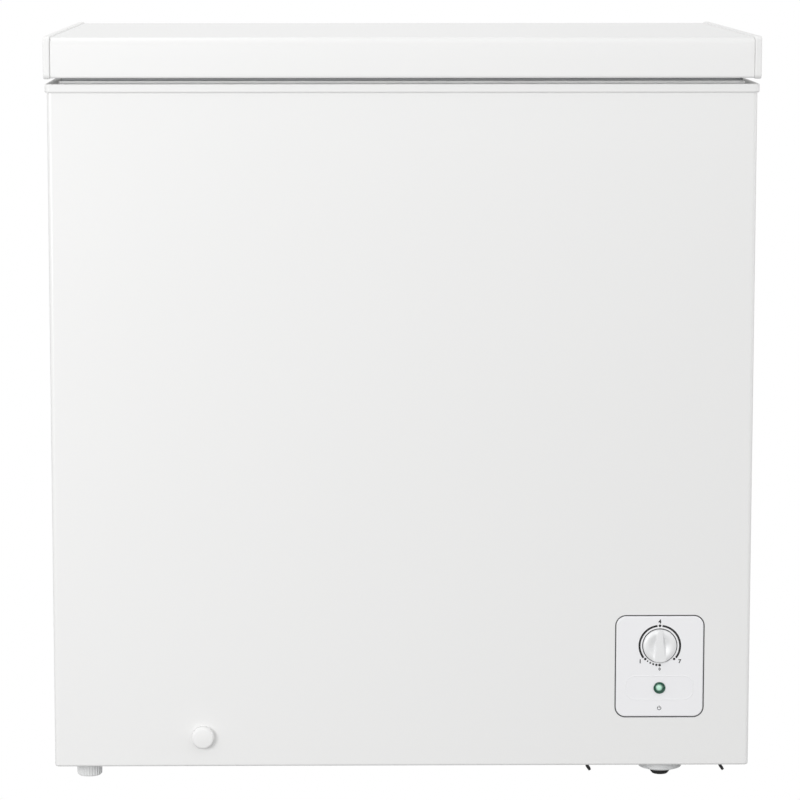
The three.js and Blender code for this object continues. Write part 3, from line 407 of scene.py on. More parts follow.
def rounded_line(points, closed, steps=6):
    """A flat line through (u, v, radius) points, with an arc of that radius at each of them."""
    count = len(points)
    line = []
    for i, (u, v, radius) in enumerate(points):
        here = Vector((u, v))
        if radius <= 0 or (not closed and i in (0, count - 1)):
            line.append(here)
            continue
        to_last = (Vector(points[i - 1][:2]) - here).normalized()
        to_next = (Vector(points[(i + 1) % count][:2]) - here).normalized()
        half = to_last.angle(to_next) / 2
        centre = here + (to_last + to_next).normalized() * (radius / math.sin(half))
        start = here + to_last * (radius / math.tan(half)) - centre
        turn = start.angle_signed(here + to_next * (radius / math.tan(half)) - centre)
        line += [centre + Matrix.Rotation(-turn * k / steps, 2) @ start for k in range(steps + 1)]
    return line


def rectangle(u0, u1, v0, v1, radius, steps=6):
    """A rounded rectangle, anticlockwise."""
    return rounded_line([(u0, v0, radius), (u1, v0, radius), (u1, v1, radius), (u0, v1, radius)], True, steps)


def make_mesh(name, build):
    """An object whose mesh a function fills in, with its doubles merged and its faces turned outwards."""
    mesh = bpy.data.meshes.new(name)
    work = bmesh.new()
    build(work)
    bmesh.ops.remove_doubles(work, verts=work.verts, dist=1e-6)
    bmesh.ops.recalc_face_normals(work, faces=work.faces)
    work.to_mesh(mesh)
    work.free()
    made = bpy.data.objects.new(name, mesh)
    bpy.context.scene.collection.objects.link(made)
    return made


def skin(name, rows, close_rows=False, close_columns=False, cap_rows=False, cap_columns=False):
    """Faces over a grid of points, given as rows of equal length."""

    def build(work):
        grid = [[work.verts.new(p) for p in row] for row in rows]
        height = len(grid)
        width = len(grid[0])
        for i in range(height if close_rows else height - 1):
            for j in range(width if close_columns else width - 1):
                a, b = grid[i], grid[(i + 1) % height]
                k = (j + 1) % width
                work.faces.new((a[j], a[k], b[k], b[j]))
        if cap_rows:
            work.faces.new(grid[0])
            work.faces.new(grid[-1])
        if cap_columns:
            work.faces.new([row[0] for row in grid])
            work.faces.new([row[-1] for row in grid])

    return make_mesh(name, build)


def prism(name, outline, axis, low, high):
    """A flat outline pulled out along an axis: (y, z) along x, (x, z) along y, or (x, y) along z."""

    def at(point, w):
        u, v = point
        return {"x": (w, u, v), "y": (u, w, v), "z": (u, v, w)}[axis]

    return skin(name, [[at(p, w) for p in outline] for w in (low, high)], close_columns=True, cap_rows=True)


def turned(name, profile, centre, axis, steps=48):
    """A turned solid. The profile's (radius, height) points run from the axis back to the axis."""
    inner = [p for p in profile if p[0] > 0]

    def at(radius, height, k):
        a = TAU * k / steps
        u, v = radius * math.cos(a), radius * math.sin(a)
        return Vector(centre) + Vector({"x": (height, u, v), "y": (u, height, v), "z": (u, v, height)}[axis])

    def build(work):
        rings = [[work.verts.new(at(r, h, k)) for k in range(steps)] for r, h in inner]
        for a, b in zip(rings, rings[1:]):
            for k in range(steps):
                n = (k + 1) % steps
                work.faces.new((a[k], a[n], b[n], b[k]))
        for ring, (_, height) in ((rings[0], profile[0]), (rings[-1], profile[-1])):
            tip = work.verts.new(at(0, height, 0))
            for k in range(steps):
                work.faces.new((ring[k], ring[(k + 1) % steps], tip))

    return make_mesh(name, build)


def ring_of(name, box, section, corner, steps=8):
    """A closed rim round a rectangle. The section's points are (inset, height)."""
    (x0, x1), (y0, y1) = box
    rows = []
    for inset, height in section:
        radius = corner(inset)
        line = rectangle(x0 + inset, x1 - inset, y0 + inset, y1 - inset, radius, steps)
        rows.append([(p.x, p.y, height) for p in line])
    return skin(name, rows, close_rows=True, close_columns=True)


def smooth(piece, angle=33):
    """Smooth shading across gentle bends, with big flat faces kept flat."""
    piece.data.shade_smooth()
    piece.data.set_sharp_from_angle(angle=math.radians(angle))
    piece.modifiers.new("weighted normals", "WEIGHTED_NORMAL").keep_sharp = True
    return piece


def soften(piece, width, segments=3, angle=33):
    """Rounds every edge sharper than an angle."""
    bevel = piece.modifiers.new("rounded edges", "BEVEL")
    bevel.width = width
    bevel.segments = segments
    bevel.limit_method = "ANGLE"
    bevel.angle_limit = math.radians(angle)
    bevel.use_clamp_overlap = True
    bevel.miter_outer = "MITER_ARC"
    piece.data.shade_smooth()
    piece.data.set_sharp_from_angle(angle=math.radians(60))
    piece.modifiers.new("weighted normals", "WEIGHTED_NORMAL").keep_sharp = True
    return piece


def plain_mesh(piece):
    """Turns a piece's modifiers into mesh."""
    graph = bpy.context.evaluated_depsgraph_get()
    graph.update()
    mesh = bpy.data.meshes.new_from_object(piece.evaluated_get(graph))
    piece.modifiers.clear()
    old = piece.data
    piece.data = mesh
    if old.users == 0:
        (bpy.data.meshes if isinstance(old, bpy.types.Mesh) else bpy.data.curves).remove(old)
    return piece


def cut(piece, *tools):
    """Cuts other solids out of a piece, and removes them."""
    for tool in tools:
        boolean = piece.modifiers.new("cut", "BOOLEAN")
        boolean.operation = "DIFFERENCE"
        boolean.solver = "EXACT"
        boolean.object = tool
    plain_mesh(piece)
    for tool in tools:
        bpy.data.objects.remove(tool)
    return piece


def fuse(name, *parts):
    """Joins loose solids into one piece."""
    work = bmesh.new()
    for part in parts:
        work.from_mesh(part.data)
    mesh = bpy.data.meshes.new(name)
    work.to_mesh(mesh)
    work.free()
    for part in parts:
        bpy.data.objects.remove(part)
    made = bpy.data.objects.new(name, mesh)
    bpy.context.scene.collection.objects.link(made)
    return made


def refined(node, width, name=None):
    """A copy of a frame node with merged corners, one face for each flat side and rounded edges."""
    made = bpy.data.objects.new(name or node + "_finished", frame["nodes"][node].data.copy())
    bpy.context.scene.collection.objects.link(made)
    work = bmesh.new()
    work.from_mesh(made.data)
    bmesh.ops.remove_doubles(work, verts=work.verts, dist=2e-5)
    bmesh.ops.dissolve_limit(
        work, angle_limit=math.radians(1.5), verts=work.verts, edges=work.edges, delimit={"NORMAL"},
    )
    work.to_mesh(made.data)
    work.free()
    made.data.materials.clear()
    return soften(made, width, 2) if width else smooth(made)


def finished(piece, maker, slot, *nodes, body=None):
    """Gives a piece its material, sets it on its body and hides the nodes it stands for; the slot argument is not
    used.
    """
    piece.data.materials.clear()
    piece.data.materials.append(made_once(maker))
    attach(piece, body or BODY_OF[nodes[0]])
    if nodes:
        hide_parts(*nodes)
    return piece


# ---------------------------------------------------------------- repeats, as geometry nodes


def node_group(name, inputs):
    """An empty tree with a geometry input and output and named sizes."""
    tree = bpy.data.node_groups.new(name, "GeometryNodeTree")
    tree.interface.new_socket("Geometry", in_out="INPUT", socket_type="NodeSocketGeometry")
    for label, kind in inputs:
        tree.interface.new_socket(label, in_out="INPUT", socket_type="NodeSocket" + kind)
    tree.interface.new_socket("Geometry", in_out="OUTPUT", socket_type="NodeSocketGeometry")
    return tree, tree.nodes.new("NodeGroupInput"), tree.nodes.new("NodeGroupOutput")


def close_tree(tree, last, given, out):
    """Ends a tree in Realize Instances and Set Material."""
    real = tree.nodes.new("GeometryNodeRealizeInstances")
    paint = tree.nodes.new("GeometryNodeSetMaterial")
    tree.links.new(last, real.inputs[0])
    tree.links.new(real.outputs[0], paint.inputs["Geometry"])
    tree.links.new(given.outputs["Material"], paint.inputs["Material"])
    tree.links.new(paint.outputs[0], out.inputs[0])
    return tree


def wires_in_a_row():
    """Copies a line of wire at even steps and gives it a round section."""
    name = "wires in a row"
    if name in bpy.data.node_groups:
        return bpy.data.node_groups[name]
    tree, given, out = node_group(
        name, [("Count", "Int"), ("Step", "Vector"), ("Wire radius", "Float"), ("Material", "Material")],
    )
    row = tree.nodes.new("GeometryNodeMeshLine")
    row.mode = "OFFSET"
    copies = tree.nodes.new("GeometryNodeInstanceOnPoints")
    real = tree.nodes.new("GeometryNodeRealizeInstances")
    section = tree.nodes.new("GeometryNodeCurvePrimitiveCircle")
    section.inputs["Resolution"].default_value = 10
    wire = tree.nodes.new("GeometryNodeCurveToMesh")
    wire.inputs["Fill Caps"].default_value = True
    round_off = tree.nodes.new("GeometryNodeSetShadeSmooth")
    tree.links.new(given.outputs["Count"], row.inputs["Count"])
    tree.links.new(given.outputs["Step"], row.inputs["Offset"])
    tree.links.new(row.outputs[0], copies.inputs["Points"])
    tree.links.new(given.outputs["Geometry"], copies.inputs["Instance"])
    tree.links.new(copies.outputs[0], real.inputs[0])
    tree.links.new(real.outputs[0], wire.inputs["Curve"])
    tree.links.new(given.outputs["Wire radius"], section.inputs["Radius"])
    tree.links.new(section.outputs[0], wire.inputs["Profile Curve"])
    tree.links.new(wire.outputs[0], round_off.inputs["Geometry"])
    return close_tree(tree, round_off.outputs[0], given, out)


def copies_on_points():
    """Sets a solid on every point of a mesh, turned and sized by the points' own attributes."""
    name = "copies on points"
    if name in bpy.data.node_groups:
        return bpy.data.node_groups[name]
    tree, given, out = node_group(name, [("Solid", "Object"), ("Material", "Material")])
    solid = tree.nodes.new("GeometryNodeObjectInfo")
    turn = tree.nodes.new("GeometryNodeInputNamedAttribute")
    turn.data_type = "FLOAT_VECTOR"
    turn.inputs["Name"].default_value = "turn"
    size = tree.nodes.new("GeometryNodeInputNamedAttribute")
    size.data_type = "FLOAT"
    size.inputs["Name"].default_value = "size"
    angles = tree.nodes.new("FunctionNodeEulerToRotation")
    copies = tree.nodes.new("GeometryNodeInstanceOnPoints")
    tree.links.new(given.outputs["Solid"], solid.inputs["Object"])
    tree.links.new(given.outputs["Geometry"], copies.inputs["Points"])
    tree.links.new(solid.outputs["Geometry"], copies.inputs["Instance"])
    tree.links.new(turn.outputs["Attribute"], angles.inputs[0])
    tree.links.new(angles.outputs[0], copies.inputs["Rotation"])
    tree.links.new(size.outputs["Attribute"], copies.inputs["Scale"])
    return close_tree(tree, copies.outputs[0], given, out)


def run_tree(piece, tree, values):
    """Runs a tree on a piece with its named inputs set, and keeps the result as plain mesh."""
    modifier = piece.modifiers.new(tree.name, "NODES")
    modifier.node_group = tree
    for item in tree.interface.items_tree:
        if item.in_out == "INPUT" and item.name in values:
            modifier[item.identifier] = values[item.name]
    if isinstance(piece.data, bpy.types.Curve):
        graph = bpy.context.evaluated_depsgraph_get()
        mesh = bpy.data.meshes.new_from_object(piece.evaluated_get(graph))
        made = bpy.data.objects.new(piece.name + "_mesh", mesh)
        bpy.context.scene.collection.objects.link(made)
        name = piece.name
        bpy.data.objects.remove(piece)
        made.name = name
        return made
    return plain_mesh(piece)


def line_object(name, lines):
    """A curve object of straight-stepped lines, each given as (points, closed)."""
    data = bpy.data.curves.new(name, "CURVE")
    data.dimensions = "3D"
    for points, closed in lines:
        spline = data.splines.new("POLY")
        spline.points.add(len(points) - 1)
        for target, point in zip(spline.points, points):
            target.co = (*point, 1)
        spline.use_cyclic_u = closed
    made = bpy.data.objects.new(name, data)
    bpy.context.scene.collection.objects.link(made)
    return made


def wires(name, lines, radius, maker, count=1, step=(0, 0, 0)):
    """Round wires along lines, with copies at even steps."""
    values = {"Count": count, "Step": step, "Wire radius": radius, "Material": made_once(maker)}
    return run_tree(line_object(name, lines), wires_in_a_row(), values)


def scatter(name, solid, places, maker):
    """Copies of a solid, made at the origin, at (position, turn, size) places. The solid is used up."""
    mesh = bpy.data.meshes.new(name)
    mesh.from_pydata([p for p, _, _ in places], [], [])
    mesh.attributes.new("turn", "FLOAT_VECTOR", "POINT")
    mesh.attributes.new("size", "FLOAT", "POINT")
    for i, (_, angles, scale) in enumerate(places):
        mesh.attributes["turn"].data[i].vector = angles
        mesh.attributes["size"].data[i].value = scale
    points = bpy.data.objects.new(name, mesh)
    bpy.context.scene.collection.objects.link(points)
    made = run_tree(points, copies_on_points(), {"Solid": solid, "Material": made_once(maker)})
    bpy.data.objects.remove(solid)
    return made


def bent_path(points, radius, steps=6):
    """Points in space with rounded corners."""
    places = [Vector(p) for p in points]
    line = [places[0]]
    for last, here, after in zip(places, places[1:], places[2:]):
        a = (last - here).normalized()
        b = (after - here).normalized()
        half = a.angle(b) / 2
        reach = min(radius / math.tan(half), (last - here).length * 0.49, (after - here).length * 0.49)
        start, end = here + a * reach, here + b * reach
        for k in range(steps + 1):
            t = k / steps
            line.append((1 - t) ** 2 * start + 2 * t * (1 - t) * here + t * t * end)
    line.append(places[-1])
    return line


class FreezerStep(bpy.types.Operator):
    """Shared by every operator below."""

    bl_options = {"REGISTER", "UNDO"}


# ---------------------------------------------------------------- cabinet


def cabinet_line(inset, flange, bend):
    """The wrap's plan line at an inset from its outer face, from one back flange round to the other."""
    low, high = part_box("cabinet_wrap")
    back = 0.6 * bend
    x0, x1 = low.x + inset, high.x - inset
    y0, y1 = low.y + inset, high.y - inset
    least = 0.0002
    front_r = max(bend - inset, least)
    back_r = min(max(back - inset, least), 0.0009)
    reach = flange + 0.001
    corners = [(low.x + reach, y1, 0), (x0, y1, back_r), (x0, y0, front_r)]
    corners += [(x1, y0, front_r), (x1, y1, back_r), (high.x - reach, y1, 0)]
    return rounded_line(corners, False, 8)


class FREEZER_OT_cabinet_wrap(FreezerStep):
    """Build the painted wrap, bent round the front and both sides, with its openings."""

    bl_idname = "freezer.cabinet_wrap"
    bl_label = "Cabinet wrap"

    def execute(self, context):
        size = settings("cabinet")
        low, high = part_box("cabinet_wrap")
        bottom, top, t = low.z, high.z, size.sheet
        outer = [(0, top, 0), (0, bottom, size.hem), (size.flange, bottom, 0)]
        inner = [(size.flange, bottom + t, 0), (t, bottom + t, size.hem - t), (t, top, 0)]
        section = rounded_line(outer, False, 6) + rounded_line(inner, False, 6)
        rows = [
            [(p.x, p.y, z) for p in cabinet_line(inset, size.flange, size.bend)] for inset, z in section
        ]
        wrap = skin("painted_wrap", rows, close_rows=True, cap_columns=True)
        panel_low, panel_high = panel_face_box()
        grow = 0.001
        line = rectangle(panel_low.x - grow, panel_high.x + grow, panel_low.z - grow, panel_high.z + grow,
                         0.0125, 10)
        panel_hole = prism("panel_hole", line, "y", low.y - 0.01, low.y + 0.01)
        drain_low, drain_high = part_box("drain_cap")
        drain = (drain_low + drain_high) / 2
        drain_hole = turned("drain_hole", [(0, -0.01), (0.009, -0.01), (0.009, 0.01), (0, 0.01)],
                            (drain.x, low.y, drain.z), "y", 32)
        vent_low, vent_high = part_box("side_vent")
        rim = 0.006
        vent = prism(
            "vent_hole",
            rectangle(vent_low.y + rim, vent_high.y - rim, vent_low.z + rim, vent_high.z - rim, 0.004),
            "x", high.x - 0.004, high.x + 0.004,
        )
        cut(wrap, panel_hole, drain_hole, vent)
        smooth(wrap, 28)
        finished(wrap, white_enamel, "white_enamel", "cabinet_wrap")
        return {"FINISHED"}


class FREEZER_OT_rim_trim(FreezerStep):
    """Build the moulded frame on the cabinet's top edge."""

    bl_idname = "freezer.rim_trim"
    bl_label = "Rim trim"

    def execute(self, context):
        low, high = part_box("rim_trim")
        wrap_low, wrap_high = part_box("cabinet_wrap")
        lip = wrap_low.x - low.x
        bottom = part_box("cabinet_foam")[1].z + 0.0003
        top = high.z
        skirt = 0.064
        ledge = top - 0.010
        groove = wrap_high.z + 0.0003
        front_top, land = top - 0.0030, 0.0148
        section = rounded_line([
            (0, bottom, 0.0022), (0, front_top, 0.0014), (land - 0.0006, front_top, 0.0003),
            (land, top, 0.0008), (skirt - 0.020, top, 0.0022),
            (skirt - 0.0165, ledge, 0.0022), (skirt, ledge, 0.0018), (skirt, low.z, 0.0006),
            (skirt - 0.0015, low.z, 0.0006), (skirt - 0.0015, bottom, 0), (lip + 0.0013, bottom, 0),
            (lip + 0.0013, groove, 0), (lip - 0.0003, groove, 0), (lip - 0.0003, bottom, 0.0003),
        ], True, 5)

        def corner(inset):
            if lip - 0.0004 <= inset <= lip - 0.0002:
                return 0.0005
            return 0.0055 + 0.20 * inset

        trim = ring_of("rim_frame", ((low.x, high.x), (low.y, high.y)), section, corner)
        finished(smooth(trim, 40), white_moulding, "white_plastic", "rim_trim")
        return {"FINISHED"}


class FREEZER_OT_tub(FreezerStep):
    """Build the stepped tub of stucco-rolled sheet."""

    bl_idname = "freezer.tub"
    bl_label = "Tub"

    def execute(self, context):
        size = settings("cabinet")
        low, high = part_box("inner_liner")
        t = 0.001
        step_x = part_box("machine_bulkhead")[0].x - 0.059
        step_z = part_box("machine_bulkhead")[1].z + 0.055
        x0, x1, z0 = low.x + t, high.x - t, low.z + t
        y0, y1 = low.y + t, high.y - t
        line = [(x0, z0), (step_x, z0), (step_x, step_z), (x1, step_z), (x1, high.z), (x0, high.z)]
        tub = prism("tub_liner", line, "y", y0, y1)
        work = bmesh.new()
        work.from_mesh(tub.data)
        upright = [e for e in work.edges if abs((e.verts[0].co - e.verts[1].co).normalized().z) > 0.99
                   and abs(e.verts[0].co.x - step_x) > 0.001]
        bmesh.ops.bevel(work, geom=upright, offset=size.tub_corner, segments=8, profile=0.5, affect="EDGES")
        step = Vector((step_x, 0, step_z))
        weight = work.edges.layers.float.new("bevel_weight_edge")
        for edge in work.edges:
            on_step = all((v.co - step).xz.length < 0.0005 for v in edge.verts)
            share = size.tub_step / size.tub_fillet if on_step else 1.0
            edge[weight] = share if edge.calc_face_angle(0) > math.radians(40) else 0.0
        work.to_mesh(tub.data)
        work.free()
        bevel = tub.modifiers.new("fillets", "BEVEL")
        bevel.width = size.tub_fillet
        bevel.segments = 5
        bevel.limit_method = "WEIGHT"
        plain_mesh(tub)
        work = bmesh.new()
        work.from_mesh(tub.data)
        above = [v for v in work.verts if v.co.z > high.z - size.tub_fillet * 1.2]
        bmesh.ops.delete(work, geom=above, context="VERTS")
        rim = [e for e in work.edges if e.is_boundary]
        bmesh.ops.recalc_face_normals(work, faces=work.faces)
        raised = bmesh.ops.extrude_edge_only(work, edges=rim)
        for v in (v for v in raised["geom"] if isinstance(v, bmesh.types.BMVert)):
            v.co.z = high.z
        work.to_mesh(tub.data)
        work.free()
        wall = tub.modifiers.new("sheet", "SOLIDIFY")
        wall.thickness = t
        wall.offset = 1
        plain_mesh(tub)
        drain_low, drain_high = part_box("drain_plug")
        drain = (drain_low + drain_high) / 2
        hole = turned("floor_hole", [(0, -0.01), (0.006, -0.01), (0.006, 0.01), (0, 0.01)],
                      (drain.x, drain.y, low.z), "z", 24)
        cut(tub, hole)
        smooth(tub, 30)
        finished(tub, stucco_liner, "liner", "inner_liner")
        return {"FINISHED"}


# ---------------------------------------------------------------- control panel


def panel_face_box():
    """The control panel's visible face, without the flange behind the wrap."""
    low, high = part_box("control_panel")
    flange = 0.004
    return low + Vector((flange, 0, flange)), high - Vector((flange, 0, flange))


def dial_centre():
    low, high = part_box("dial_knob")
    return Vector(((low.x + high.x) / 2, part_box("control_panel")[0].y, (low.z + high.z) / 2))


def lamp_centre():
    low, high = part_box("lamp_lens")
    return Vector(((low.x + high.x) / 2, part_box("control_panel")[0].y, (low.z + high.z) / 2))


class FREEZER_OT_control_panel(FreezerStep):
    """Build the control panel plate, its dial well, a dark strip of painted shade in the gap round it, and the
    raised line round its lamp.
    """

    bl_idname = "freezer.control_panel"
    bl_label = "Control panel"

    def execute(self, context):
        low, high = panel_face_box()
        face, back = low.y, high.y
        corner, edge, steps = 0.0115, 0.0012, 10

        def loop(inset, y):
            line = rectangle(
                low.x + inset, high.x - inset, low.z + inset, high.z - inset, corner - inset, steps,
            )
            return [(p.x, y, p.y) for p in line]

        reveal = 0.0004
        # A dark strip set deep in the gap round the plate: painted shade of the gap.
        gap_shade = [loop(-0.0009, face + 0.0014), loop(reveal, face + 0.0014), loop(reveal, back - 0.0021),
                  loop(-0.0009, back - 0.0021)]
        gap_shade = skin("panel_gasket", gap_shade, close_rows=True, close_columns=True)
        finished(smooth(gap_shade), gasket_rubber, "dark_plastic", body="cabinet")
        rows = [loop(reveal + edge * (1 - math.sin(a)), face + edge * (1 - math.cos(a)))
                for a in [k * math.pi / 12 for k in range(7)]]
        rows.append(loop(reveal, back - 0.0022))
        rows.append(loop(-0.0008, back - 0.0022))
        rows.append(loop(-0.0008, back - 0.002))
        rows.append(loop(-0.004, back - 0.002))
        rows.append(loop(-0.004, back))
        plate = skin("panel_plate", rows, close_columns=True, cap_rows=True)
        dial = dial_centre()
        knob_low, knob_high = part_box("dial_knob")
        well_radius = (knob_high.x - knob_low.x) / 2 + 0.0010
        well = turned("well", [(0, -0.002), (well_radius + 0.0003, -0.002), (well_radius + 0.0003, -0.0001),
                               (well_radius, 0.0003), (well_radius, 0.002), (0, 0.002)], dial, "y", 64)
        shaft = turned("bore", [(0, -0.01), (0.0035, -0.01), (0.0035, 0.01), (0, 0.01)], dial, "y", 24)
        lamp = turned("lamp_bore", [(0, -0.01), (0.006, -0.01), (0.006, 0.01), (0, 0.01)],
                      lamp_centre(), "y", 32)
        cut(plate, well, shaft, lamp)
        smooth(plate, 30)
        finished(plate, panel_plastic, "panel_plastic", "control_panel")
        self.well_painted_shade(well_radius)
        self.raised_line()
        return {"FINISHED"}

    def well_painted_shade(self, radius):
        """A dark ring on the well's floor: painted shade that shows as a fine dark line in the gap round the knob.
        """
        dial = dial_centre()
        floor = 0.002
        ring = [(0.0045, floor - 0.0003), (radius, floor - 0.0003), (radius, floor), (0.0045, floor)]
        rows = []
        for k in range(64):
            a = TAU * k / 64
            rows.append([(dial.x + r * math.cos(a), dial.y + y, dial.z + r * math.sin(a)) for r, y in ring])
        # Painted shade: a black ring laid where the gap round the knob is in shadow.
        shade_ring = skin("dial_washer", rows, close_rows=True, close_columns=True)
        finished(smooth(shade_ring), dark_plastic, "dark_plastic", body="cabinet")

    def raised_line(self):
        """The faint raised line round the lamp: a low ridge along a long rounded rectangle."""
        middle = lamp_centre()
        half_width, half_height, corner = 0.0387, 0.0137, 0.0114
        across, up = 0.0006, 0.0003
        rows = []
        for k in range(5):
            a = math.pi * k / 4
            out, rise = across * math.cos(a), up * math.sin(a)
            line = rectangle(middle.x - half_width - out, middle.x + half_width + out,
                             middle.z - half_height - out, middle.z + half_height + out, corner + out, 10)
            rows.append([(p.x, middle.y - rise - 0.00001, p.y) for p in line])
        ridge = skin("panel_raised_line", rows, close_rows=True, close_columns=True)
        finished(smooth(ridge), panel_plastic, "panel_plastic", body="cabinet")


def printed(name, outline):
    """A mark printed on the panel, from its (across, up) outline round the dial's centre."""
    centre = dial_centre()
    line = [(centre.x + u, centre.z + v) for u, v in outline]
    return prism(name, line, "y", centre.y - 0.00008, centre.y + 0.00002)


def on_circle(radius, angle):
    """A place on the dial, by its angle clockwise from the top."""
    return radius * math.sin(angle), radius * math.cos(angle)


def lettered(name, text, height, centre):
    """A numeral on the panel, centred on a point and made a thin solid."""
    data = bpy.data.curves.new(name, "FONT")
    data.body = text
    data.size = height / 0.72
    data.align_x = "CENTER"
    data.align_y = "CENTER"
    data.extrude = 0.00004
    data.offset = height * 0.055
    label = bpy.data.objects.new(name, data)
    bpy.context.scene.collection.objects.link(label)
    graph = bpy.context.evaluated_depsgraph_get()
    mesh = bpy.data.meshes.new_from_object(label.evaluated_get(graph))
    bpy.data.objects.remove(label)
    mesh.transform(Matrix.Translation(centre) @ Matrix.Rotation(math.pi / 2, 4, "X"))
    made = bpy.data.objects.new(name, mesh)
    bpy.context.scene.collection.objects.link(made)
    work = bmesh.new()
    work.from_mesh(mesh)
    bmesh.ops.remove_doubles(work, verts=work.verts, dist=1e-7)
    work.to_mesh(mesh)
    work.free()
    return made


class FREEZER_OT_dial_marks(FreezerStep):
    """Print the scale, its dots and numerals, and the power sign."""

    bl_idname = "freezer.dial_marks"
    bl_label = "Dial marks"

    def execute(self, context):
        marks = [self.arc(-1), self.arc(1)]
        finished(fuse("dial_scale", *marks), printed_ink, "dark_plastic", body="cabinet")
        self.dots()
        self.numerals()
        self.power_sign()
        return {"FINISHED"}

    def arc(self, side):
        """One half of the scale, from just past the middle mark to just short of an end mark."""
        size = settings("dial")
        start, end = math.radians(7), size.sweep - math.radians(6)
        steps = 40
        angles = [start + (end - start) * k / steps for k in range(steps + 1)]
        outer = size.scale_radius + size.scale_line / 2
        inner = outer - size.scale_line
        line = [on_circle(outer, side * a) for a in angles]
        line += [on_circle(inner, side * a) for a in reversed(angles)]
        return printed("scale_half", line)

    def dots(self):
        """Dots at the middle and end marks, and a row that grows from the low mark to the off mark."""
        size = settings("dial")
        centre = dial_centre()
        radius = size.scale_radius - 0.0006
        full = [(0, 1.2), (size.sweep, 1.1), (-size.sweep, 1.1)]
        count = 5
        off = math.pi
        for k in range(1, count + 1):
            angle = -(size.sweep + (off - size.sweep) * k / count)
            full.append((angle, 0.55 + 0.6 * k / count))
        places = []
        for angle, scale in full:
            u, v = on_circle(size.scale_radius if angle == 0 else radius, angle)
            places.append(((centre.x + u, centre.y, centre.z + v), (0, 0, 0), scale))
        dot = turned("dot", [(0, -0.00008), (0.0013, -0.00008), (0.0013, 0.00002), (0, 0.00002)],
                     (0, 0, 0), "y", 24)
        finished(scatter("dial_dots", dot, places, printed_ink), printed_ink, "dark_plastic", body="cabinet")

    def numerals(self):
        centre = dial_centre()
        labels = [("0", 0, -0.0272, 0.0032), ("1", -0.0222, -0.0182, 0.0044),
                  ("4", -0.0002, 0.0278, 0.0044), ("7", 0.0228, -0.0182, 0.0044)]
        parts = [
            lettered("numeral_" + text, text, height, centre + Vector((u, -0.00003, v)))
            for text, u, v, height in labels
        ]
        finished(fuse("dial_numerals", *parts), printed_ink, "dark_plastic", body="cabinet")

    def power_sign(self):
        """A broken ring with an upright bar in its gap."""
        up = lamp_centre().z - 0.0236 - dial_centre().z
        across = lamp_centre().x - dial_centre().x
        radius, line, gap, steps = 0.0024, 0.0007, math.radians(38), 24
        angles = [gap + (TAU - 2 * gap) * k / steps for k in range(steps + 1)]
        ring = [on_circle(radius, a) for a in angles]
        ring += [on_circle(radius - line, a) for a in reversed(angles)]
        bar = [(-line / 2, 0.0002), (line / 2, 0.0002), (line / 2, 0.0029), (-line / 2, 0.0029)]
        parts = [printed("power_part", [(u + across, v + up) for u, v in shape]) for shape in (ring, bar)]
        finished(fuse("power_sign", *parts), printed_ink, "dark_plastic", body="cabinet")


def ease(value, low, high):
    """A smooth step from 0 at low to 1 at high."""
    t = min(1.0, max(0.0, (value - low) / (high - low)))
    return t * t * (3 - 2 * t)


class FREEZER_OT_dial_knob(FreezerStep):
    """Build the knob: a disc with a finger scoop on each side of a bar that widens from its pointer end."""

    bl_idname = "freezer.dial_knob"
    bl_label = "Dial knob"

    def execute(self, context):
        low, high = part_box("dial_knob")
        centre = dial_centre()
        radius = (high.x - low.x) / 2
        back, front = high.y, low.y
        edge, around, inward = 0.0011, 160, 46
        bore, bore_end = 0.0033, back - 0.0027
        face_radius = radius - edge

        def ring(r, depth):
            points = []
            for k in range(around):
                a = TAU * k / around
                u, v = r * math.cos(a), r * math.sin(a)
                points.append((centre.x + u, depth(u, v) if callable(depth) else depth, centre.z + v))
            return points

        rows = [ring(face_radius * k / inward, lambda u, v: front + self.dip(u, v, face_radius))
                for k in range(inward + 1)]
        for k in range(1, 6):
            a = math.pi / 2 * k / 5
            back_by = edge * (1 - math.cos(a))
            rows.append(ring(face_radius + edge * math.sin(a),
                             lambda u, v: front + self.dip(u, v, math.hypot(u, v)) + back_by))
        rows += [ring(radius, back - 0.0005), ring(radius - 0.0005, back), ring(bore, back),
                 ring(bore, bore_end), ring(0, bore_end)]
        knob = skin("dial_grip_knob", rows, close_columns=True)
        finished(smooth(knob, 60), knob_plastic, "knob_plastic", "dial_knob")
        return {"FINISHED"}

    def dip(self, u, v, face_radius):
        """How far the face lies below its crest: deepest beside the bar, and falling again at the rim."""
        narrow, wide, deep = 0.0021, 0.0064, 0.0038
        reach = 0.0172
        crest, fall = 0.0085, 0.0020
        share = (v + reach) / (2 * reach)
        beside = abs(u) - (wide + (narrow - wide) * share)
        r = math.hypot(u, v)
        scoop = deep * ease(beside, -0.0002, 0.0014) * (1 - ease(r, 0.0050, face_radius - 0.0010) ** 0.8)
        outward = max(0.0, (r - crest) / (face_radius - crest))
        return scoop + fall * outward ** 2 * ease(beside, -0.0002, 0.0030)


class FREEZER_OT_lamp(FreezerStep):
    """Build the lamp's domed lens."""

    bl_idname = "freezer.lamp"
    bl_label = "Lamp lens"

    def execute(self, context):
        low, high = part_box("lamp_lens")
        centre = lamp_centre()
        radius = (high.x - low.x) / 2
        rise = centre.y - low.y
        rim = 0.0009
        dome = [(0, high.y - centre.y), (0.005, high.y - centre.y), (0.005, -0.0003), (radius, -0.0003),
                (radius, -rim), (radius - 0.0005, -rim - 0.0004), (radius - 0.0013, -rim - 0.0003)]
        steps = 8
        for k in range(steps):
            a = math.pi / 2 * k / steps
            dome.append(((radius - 0.0017) * math.cos(a), -rim - (rise - rim) * math.sin(a)))
        dome.append((0, -rise))
        lens = turned("lamp_dome", dome, centre, "y", 64)
        finished(smooth(lens, 50), lamp_lens_green, "green_lens", "lamp_lens")
        return {"FINISHED"}


